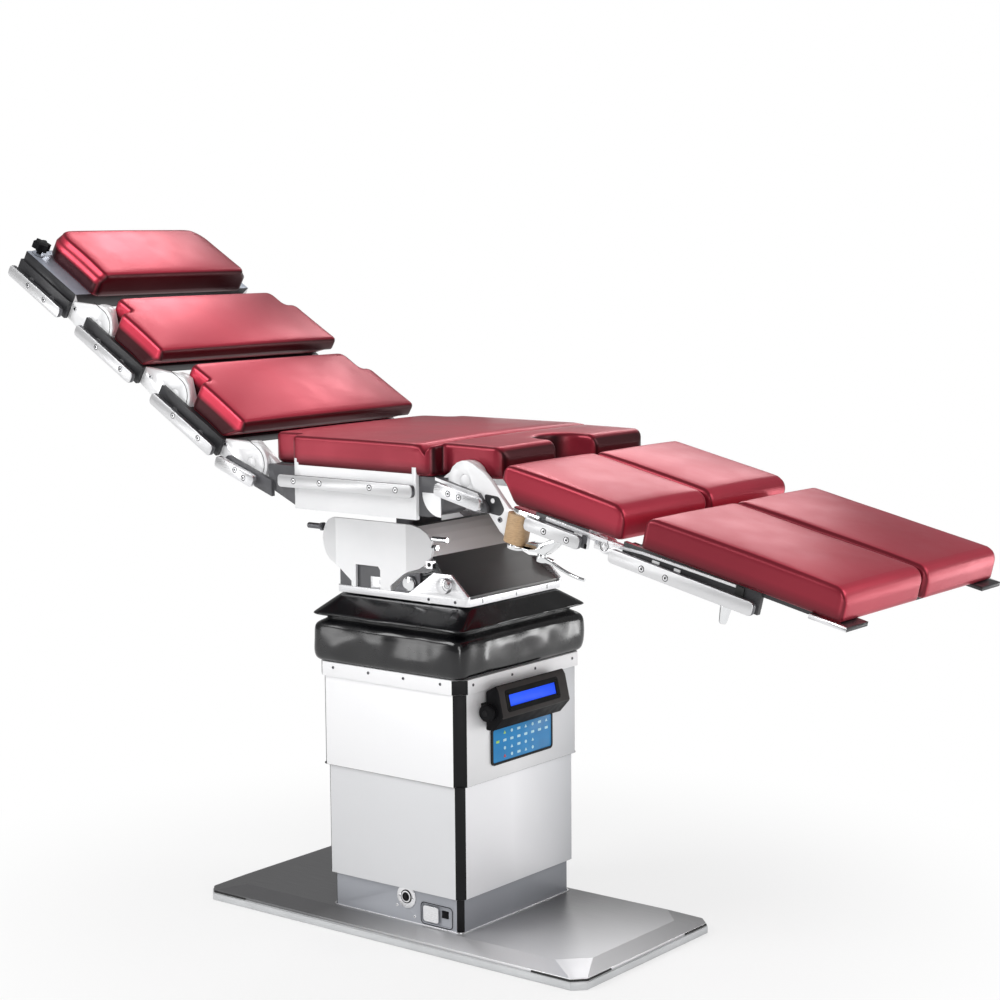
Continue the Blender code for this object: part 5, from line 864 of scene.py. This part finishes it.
def make_rail_screws():
    rows = (("head_rest", HEAD, (-0.2031, -0.1453), -0.024),
            ("upper_back", UPPER, (-0.2224, -0.1373), -0.024),
            ("lower_back", LOWER, (-0.2099, -0.1269), -0.022),
            ("seat", SEAT, (-0.1564, -0.0873, 0.0420, 0.1074), -0.024),
            ("thigh", LEG, (0.217, 0.269), -0.027), ("calf", LEG, (0.435, 0.486), -0.027))
    seat_ends = ((-0.3168, 0.9345), (-0.2935, 0.9194), (0.2361, 0.9239), (0.2616, 0.9185))
    for word, side in SIDES:
        out = (0, side, 0)
        for part, matrix, xs, z in rows:
            spots = [matrix @ at((x, side * RAIL_FACE, z), out) for x in xs]
            if part == "seat":
                spots += [at((x, side * RAIL_FACE, z), out) for x, z in seat_ends]
            body = "%s_%s" % (part, word) if part in ("thigh", "calf") else part
            screws("rail_screws_%s_%s" % (part, word), body, spots, RAIL_SCREW)


def make_hinge_details():
    """The line round each hinge arm's disc, and the arm's root bolt."""
    disc = 0.037
    path = [(-0.034, disc)] + arc((0, 0), disc, 90, -90, 18) + [(-0.026, -disc)]
    for word, side in SIDES:
        for body, matrix in (("lower_back", LOWER), ("upper_back", UPPER), ("head_rest", HEAD)):
            line = pipe([(x, side * (ARM_FACE + 0.0001), z) for x, z in path], 0.0007, 8)
            piece("hinge_line_%s_%s" % (body, word), line, "trim_black", body, matrix=matrix)
            spots = [matrix @ at((-0.078, side * ARM_FACE, -0.006), (0, side, 0))]
            screws("hinge_bolt_%s_%s" % (body, word), body, spots, HINGE_BOLT)


def make_column_details():
    """The clamp frame's screws, the seam round the column's foot and the wiper rings under the sleeves."""
    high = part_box("rim_band")[1]
    spots = []
    for side in (-1, 1):
        spots += [at((x, side * high.y, 0.5370), (0, side, 0)) for x in (-0.1388, -0.0451, 0.0461, 0.1401)]
        spots += [at((side * high.x, y, 0.5355), (side, 0, 0)) for y in (-0.1641, -0.0405, 0.0351, 0.1610)]
    screws("rim_screws", "upper", spots, SHEET_SCREW, "dark_steel")
    lower, middle, upper = (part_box(name) for name in ("lower_sleeve", "middle_sleeve", "upper_sleeve"))
    foot = rounded(lower[1].x + 0.0016, lower[1].y + 0.0016, 0.012)
    cover_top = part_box("base_cover")[1].z
    piece("foot_seam", band(foot, 0.0026, cover_top - 0.0004, cover_top + 0.0016),
          "steel", "root", 0.0005)
    for body, outer, inner in (("upper", upper, middle), ("middle", middle, lower)):
        half_x, half_y = inner[1].x + 0.0012, inner[1].y + 0.0012
        gap = min(outer[1].x - half_x, 0.0030)
        ring = band(rounded(half_x + gap, half_y + gap, 0.015), gap, outer[0].z - 0.0012, outer[0].z + 0.0006)
        piece("wiper_" + body, ring, "trim_black", body)


def make_base_details():
    """Rubber strips that wrap the plate's corners in the joint under the cover, and the service fittings."""
    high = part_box("base_cover")[1]
    corner = 0.024
    reach_x, reach_y = high.x + 0.0004, high.y + 0.0004
    for index, (sx, sy) in enumerate(((1, -1), (-1, -1), (-1, 1), (1, 1))):
        path = [(reach_x - corner - 0.090, reach_y), (reach_x - corner, reach_y), (reach_x, reach_y - corner),
                (reach_x, reach_y - corner - 0.075)]
        strip = pipe([(sx * x, sy * y, 0.0186) for x, y in path], 0.0021, 10)
        piece("corner_strip_%d" % (index + 1), strip, "rubber", "root")
    near = (0, -1, 0)
    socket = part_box("power_socket")
    centre = (socket[0] + socket[1]) / 2
    for name, profile, look, slot in (
            ("core", [(0.0092, -0.001), (0.0092, 0.0012), (0.0080, 0.0018),
                      (0.0076, 0.0004), (0.0046, 0.0004),
                      (0.0042, 0.0022), (0.0030, 0.0026), (0.0, 0.0026)], "trim_black", "black_plastic"),
            ("gap", [(0.0140, -0.0004), (0.0140, 0.0007), (0.0116, 0.0007), (0.0116, -0.0004)], "trim_black",
             "black_plastic"),
            ("ring", [(0.0117, 0.0), (0.0117, 0.0014), (0.0092, 0.0017), (0.0090, 0.0)], "steel", "steel")):
        piece("socket_" + name, lathe(profile, 36), look, "root",
              matrix=at((centre.x, socket[0].y, centre.z), near))
    spots = [at((centre.x + dx, socket[0].y, centre.z), near) for dx in (-0.0175, 0.0175)]
    sleeve_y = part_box("lower_sleeve")[0].y
    spots += [at((x, sleeve_y, z), near) for x, z in ((0.0042, 0.0660), (0.0500, 0.0500))]
    screws("service_screws", "root", spots, SHEET_SCREW)
    low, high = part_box("service_panel")
    half_x, half_z = (high.x - low.x) / 2, (high.z - low.z) / 2
    middle = (low + high) / 2
    border = band(rounded(half_x, half_z, 0.009, 8), 0.0016, 0.0, 0.0006)
    piece("panel_frame", border, "trim_black", "root", 0.0002,
          matrix=at((middle.x, sleeve_y, middle.z), near))
    plate = prism(rounded(0.0195, half_z - 0.0065, 0.005, 6), -0.0005, 0.0008)
    piece("panel_plate", plate, "steel", "root", 0.0003,
          matrix=at((low.x + 0.026, low.y, middle.z), near))


def make_keypad():
    """A raised key at every place of the membrane, and its rounded black border."""
    face = facing("keypad", (1, 0, 0))
    low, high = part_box("keypad")
    half_x, half_y = (high.y - low.y) / 2 + 0.0003, (high.z - low.z) / 2 + 0.0003
    border = band(rounded(half_x, half_y, 0.009, 8), 0.0052, -0.0026, 0.0006)
    piece("keypad_border", border, "trim_black", "upper", 0.0002, matrix=face)
    special = {(0, 1): "key_lime", (1, 0): "key_lime", (3, 1): "key_red"}
    missing = {(0, 0), (2, 0), (3, 0), (2, 6), (3, 6), (3, 7), (2, 7)}
    groups = {"key_pale": [], "key_lime": [], "key_red": []}
    column_step, row_step, thickness = 0.0228, 0.0158, 0.0006
    for row in range(4):
        for column in range(8):
            if (row, column) in missing:
                continue
            x = -half_x + 0.0193 + column * column_step
            y = half_y - 0.0148 - row * row_step
            triangle = [(x - 0.0040, y - 0.0030), (x + 0.0040, y - 0.0030), (x, y + 0.0036)]
            shapes = (rounded(0.0050, 0.0026, 0.0012, 4, (x, y)), circle((x, y), 0.0034, 20),
                      softened(triangle, [0.0006] * 3))
            key = prism(shapes[(row * 3 + column * 5 + row * column) % 3], 0.0, thickness)
            groups[special.get((row, column), "key_pale")].append(key)
    for look, keys in groups.items():
        piece("keypad_" + look, blended(*keys), look, "upper", 0.0002, matrix=face.copy())


def make_display_details():
    """The bezel round the display's window and the shaft cap of the tilt knob."""
    face = facing("display_screen", (1, 0, 0.2))
    low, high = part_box("display_screen")
    half_x = (high.y - low.y) / 2
    half_y = (high.z - low.z) / 2 / max(0.5, face.to_3x3().col[1].z)
    bezel = band(rounded(half_x + 0.0110, half_y + 0.0085, 0.006, 6), 0.0105, -0.0005, 0.0021)
    piece("display_bezel", bezel, "bezel_black", "display", 0.0005, matrix=face)
    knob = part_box("display_knob")
    centre = (knob[0] + knob[1]) / 2
    cap = lathe([(0.0060, 0), (0.0060, 0.0008), (0.0050, 0.0016), (0.0, 0.0018)], 24)
    piece("display_knob_cap", cap, "trim_black", "display_knob",
          matrix=at((centre.x, knob[0].y, centre.z), (0, -1, 0)))


def make_head_details():
    """Hardware round the tilting head: stop pins, bolts, blocks whose bores are black discs of painted shade,
    and the plate's seams.
    """
    stub = [(0.0058, 0), (0.0060, 0.001), (0.0060, 0.040), (0.0048, 0.0415)]
    pin = [(0.0052, 0), (0.0052, 0.027), (0.0046, 0.0272), (0.0046, 0.0284), (0.0056, 0.0286),
           (0.0056, 0.0350), (0.0046, 0.0360)]
    bore = [(0.0044, 0), (0.0044, 0.0004), (0.0040, 0.0005), (0.0, 0.0003)]
    block_place = (0.0635, 0.7560)
    trunnion = (0.1283, 0.7253)
    footwards, headwards = (1, 0, 0), (-1, 0, 0)
    for word, side in SIDES:
        wing_y = side * 0.1295
        made = blended(moved(lathe(stub, 20), at((-0.2255, wing_y, 0.8085), headwards)),
                       moved(hex_head(0.0092, 0.0075), at((-0.2240, wing_y, 0.8085), headwards)))
        piece("stop_stub_" + word, made, "dark_steel", "head")
        made = blended(moved(lathe(pin, 20), at((0.0655, wing_y, 0.8065), footwards)),
                       moved(hex_head(0.0062, 0.0130), at((0.0640, wing_y, 0.7895), footwards)))
        piece("stop_pin_" + word, made, "chrome", "head")
        block = prism(rounded(0.0085, 0.0080, 0.0010, 3, block_place), wing_y, side * 0.1400, "Y")
        piece("stop_block_" + word, block, "steel", "head", 0.0006)
        # The bore is a black disc, painted shade for the hole
        piece("stop_bore_shade_" + word, lathe(bore, 20), "trim_black", "head",
              matrix=at((block_place[0], side * 0.1399, block_place[1]), (0, side, 0)))
        for radius in (0.0072, 0.0128):
            path = circle(trunnion, radius, 28) + [(trunnion[0] + radius, trunnion[1])]
            ring = pipe([(x, side * 0.1640, z) for x, z in path], 0.0005, 8)
            piece("trunnion_ring_%s_%d" % (word, round(radius * 10000)), ring, "dark_steel", "head")
        spots = [at((x, side * 0.1520, z), (0, side, 0)) for x, z in ((0.0715, 0.6897), (0.1386, 0.6900))]
        screws("plate_screws_" + word, "head", spots, PLATE_SCREW, "dark_steel")
    slots = [moved(prism(rounded(0.0010, 0.0044, 0.0009, 4), -0.0002, 0.0004),
                   at((0.1710, y, 0.6905), footwards))
             for y in (-0.1066, 0.0014, 0.1032)]
    piece("plate_seams", blended(*slots), "dark_steel", "head")


def make_notch_plates():
    """A dark upright sheet behind each cheek's notch, standing on the head plate."""
    half_x, half_z = 0.058, 0.0285
    for word, side in SIDES:
        sheet = prism(rounded(half_x, half_z, 0.002, 4), 0.0, 0.0014)
        place = (-0.110, side * 0.1430, HEAD_PLATE_TOP + half_z - 0.0001)
        piece("notch_plate_" + word, sheet, "dark_frame", "head", 0.0003,
              matrix=at(place, (0, side, 0)))


def make_hip_details():
    """The covers on the seat's end blocks and the bolts in the hip arms, as thin as the gap between them."""
    hub = (0.1965, 0.9180)
    sector = arc(hub, 0.045, 180, 270, 16) + [hub]
    strip = [(0.1895, 0.9440), (0.2880, 0.9208), (0.2955, 0.9205), (0.2905, 0.9262), (0.1895, 0.9498)]
    shield = softened([(0.2990, 0.9250), (0.3050, 0.8905), (0.3370, 0.8860), (0.3460, 0.8990),
                       (0.3330, 0.9220)],
                      [0.004, 0.004, 0.010, 0.008, 0.012], 6)
    for word, side in SIDES:
        piece("sector_cover_" + word, prism(sector, side * 0.2613, side * 0.2630, "Y"), "white_steel", "seat",
              0.0005)
        piece("arm_guard_" + word, prism(strip, side * 0.2699, side * 0.2706, "Y"), "white_steel", "seat",
              0.0002)
        arm = "hip_arm_" + word
        piece("arm_shield_" + word, prism(shield, side * 0.2599, side * 0.2603, "Y"), "black_frame", arm)
        disc = lathe([(0.0046, 0.0), (0.0046, 0.00010), (0.0, 0.00010)], 24)
        piece("arm_pin_" + word, disc, "white_steel", arm,
              matrix=at((0.3186, side * 0.26028, 0.9135), (0, side, 0)))
        spots = [at((0.3354, side * ARM_FACE, 0.8793), (0, side, 0))]
        screws("arm_bolt_" + word, arm, spots, ARM_BOLT, "dark_steel")


def make_leg_details():
    """Guide bars under the leg cushions, with their tabs and clips, and the rings round the knee pins."""
    calf_bar = [(0.3560, -0.0136), (0.4220, -0.0070), (0.6170, -0.0030), (0.6170, 0.0018), (0.4220, -0.0020),
                (0.3560, -0.0084)]
    # Name, body, outline, distance of the outer face from the middle plane, look
    rows = (("thigh_guide", "thigh", rounded(0.0695, 0.0036, 0.0010, 2, (0.2755, -0.0078)), 0.2745, "steel"),
            ("thigh_tab", "thigh", rounded(0.0085, 0.0028, 0.0006, 2, (0.2792, -0.0150)),
             0.2725, "white_steel"),
            ("thigh_clip", "thigh", rounded(0.0026, 0.0040, 0.0006, 2, (0.2985, -0.0315)),
             0.2712, "trim_black"),
            ("calf_guide", "calf", calf_bar, 0.2745, "steel"),
            ("calf_tab_1", "calf", rounded(0.0075, 0.0024, 0.0006, 2, (0.4497, -0.0125)),
             0.2722, "white_steel"),
            ("calf_tab_2", "calf", rounded(0.0065, 0.0024, 0.0006, 2, (0.4954, -0.0125)),
             0.2722, "white_steel"),
            ("calf_end", "calf", rounded(0.0080, 0.0180, 0.0010, 2, (0.6255, -0.0170)), 0.2740, "rubber"))
    pin, ring_radius = (0.331, -0.022), 0.0088
    path = circle(pin, ring_radius, 28) + [(pin[0] + ring_radius, pin[1])]
    for word, side in SIDES:
        for name, part, outline, reach, look in rows:
            low, high = sorted((side * 0.2698, side * reach))
            bar = prism(outline, low, high, "Y")
            piece("%s_%s" % (name, word), bar, look, "%s_%s" % (part, word), 0.0003, matrix=LEG)
        ring = pipe([(x, side * ARM_FACE, z) for x, z in path], 0.0006, 8)
        piece("knee_ring_" + word, ring, "trim_black", "calf_" + word, matrix=LEG)


# Stage

# Strength of the surroundings' light, and how much less of it mirrors show
AMBIENT = 0.46
MIRROR_LOSS = 0.20

# The floor's glow: distances between which it grows, its strengths there, and its share in mirrors
GLOW = {"From Min": 0.50, "From Max": 1.4, "To Min": 0.62, "To Max": 1.0}
MIRROR_GLOW = 0.80

# Name, place, target, size, power in watts
LAMPS = (("key", (-1.6, -2.6, 3.0), (0, 0, 0.9), (1.8, 1.8), 66),
         ("rim", (2.8, 1.6, 2.4), (0.2, 0, 0.8), (1.4, 2.0), 24),
         ("front", (2.6, -2.8, 1.8), (0.1, 0, 0.6), (1.6, 1.6), 26),
         ("side", (-2.4, -3.0, 0.9), (0, 0, 0.6), (0.5, 1.6), 11),
         ("under", (1.7, -1.5, 0.68), (0.15, 0, 0.80), (0.5, 0.5), 5),
         ("strip", (2.0, 2.3, 0.5), (0.18, 0, 0.62), (0.2, 1.0), 7),
         ("back_head", (-1.79, 1.78, 3.19), (-0.87, -0.1, 1.36), (0.6, 0.5), 7),
         ("back_torso", (-1.12, 2.23, 2.84), (-0.42, 0.2, 1.05), (0.4, 0.4), 4),
         ("back_legs", (-0.55, 2.15, 1.88), (0.6, -0.1, 0.86), (0.9, 0.4), 3.5),
         ("back_base", (-1.22, 2.10, 0.97), (0.42, -0.15, 0.04), (0.5, 0.4), 1.0))


def make_world(scene):
    """White for the camera, and a softer even light for everything else."""
    world = bpy.data.worlds.new("studio")
    scene.world = world
    world.use_nodes = True
    tree = world.node_tree
    tree.nodes.clear()
    out = tree.nodes.new("ShaderNodeOutputWorld")
    sky = tree.nodes.new("ShaderNodeBackground")
    sky.inputs["Color"].default_value = (1, 1, 1, 1)
    path = tree.nodes.new("ShaderNodeLightPath").outputs
    dimmed = reckoned(tree, "MULTIPLY_ADD", path["Is Glossy Ray"], -MIRROR_LOSS, AMBIENT)
    tree.links.new(reckoned(tree, "MAXIMUM", dimmed, path["Is Camera Ray"]), sky.inputs["Strength"])
    tree.links.new(sky.outputs[0], out.inputs[0])


def make_floor(scene):
    """A pale floor that takes the shadow and fades into the background."""
    mesh = bmesh.new()
    bmesh.ops.create_grid(mesh, x_segments=1, y_segments=1, size=14)
    data = bpy.data.meshes.new("floor")
    mesh.to_mesh(data)
    mesh.free()
    floor = bpy.data.objects.new("floor", data)
    floor.location.z = -0.0005
    scene.collection.objects.link(floor)
    look = bpy.data.materials.new("floor")
    look.use_nodes = True
    tree = look.node_tree
    shader = tree.nodes["Principled BSDF"]
    shader.inputs["Base Color"].default_value = (0.92, 0.92, 0.92, 1)
    shader.inputs["Roughness"].default_value = 0.7
    glow = tree.nodes.new("ShaderNodeEmission")
    mix = tree.nodes.new("ShaderNodeMixShader")
    path = tree.nodes.new("ShaderNodeLightPath").outputs
    coordinates = tree.nodes.new("ShaderNodeTexCoord")
    length = tree.nodes.new("ShaderNodeVectorMath")
    length.operation = "LENGTH"
    tree.links.new(coordinates.outputs["Object"], length.inputs[0])
    ramp = tree.nodes.new("ShaderNodeMapRange")
    ramp.interpolation_type = "SMOOTHSTEP"
    for key, value in GLOW.items():
        ramp.inputs[key].default_value = value
    tree.links.new(length.outputs["Value"], ramp.inputs["Value"])
    mirrored = reckoned(tree, "MULTIPLY", path["Is Glossy Ray"], MIRROR_GLOW)
    seen = reckoned(tree, "MAXIMUM", path["Is Camera Ray"], mirrored)
    tree.links.new(reckoned(tree, "MULTIPLY", ramp.outputs["Result"], seen), mix.inputs[0])
    tree.links.new(shader.outputs[0], mix.inputs[1])
    tree.links.new(glow.outputs[0], mix.inputs[2])
    tree.links.new(mix.outputs[0], tree.nodes["Material Output"].inputs[0])
    data.materials.append(look)


def make_lamps(scene):
    for name, place, target, size, power in LAMPS:
        data = bpy.data.lights.new(name, "AREA")
        data.shape = "RECTANGLE"
        data.size, data.size_y = size
        data.energy = power
        lamp = bpy.data.objects.new(name, data)
        lamp.location = place
        lamp.visible_camera = False
        lamp.rotation_euler = (Vector(target) - Vector(place)).to_track_quat("-Z", "Y").to_euler()
        scene.collection.objects.link(lamp)


def make_stage():
    scene = bpy.context.scene
    scene.view_settings.view_transform = "Standard"
    make_world(scene)
    make_floor(scene)
    make_lamps(scene)


LOOKS = make_looks()
place_camera()
make_stage()
dress_frame()
make_cushions()
make_bellows()
make_rail_screws()
make_hinge_details()
make_column_details()
make_base_details()
make_keypad()
make_display_details()
make_head_details()
make_notch_plates()
make_hip_details()
make_leg_details()
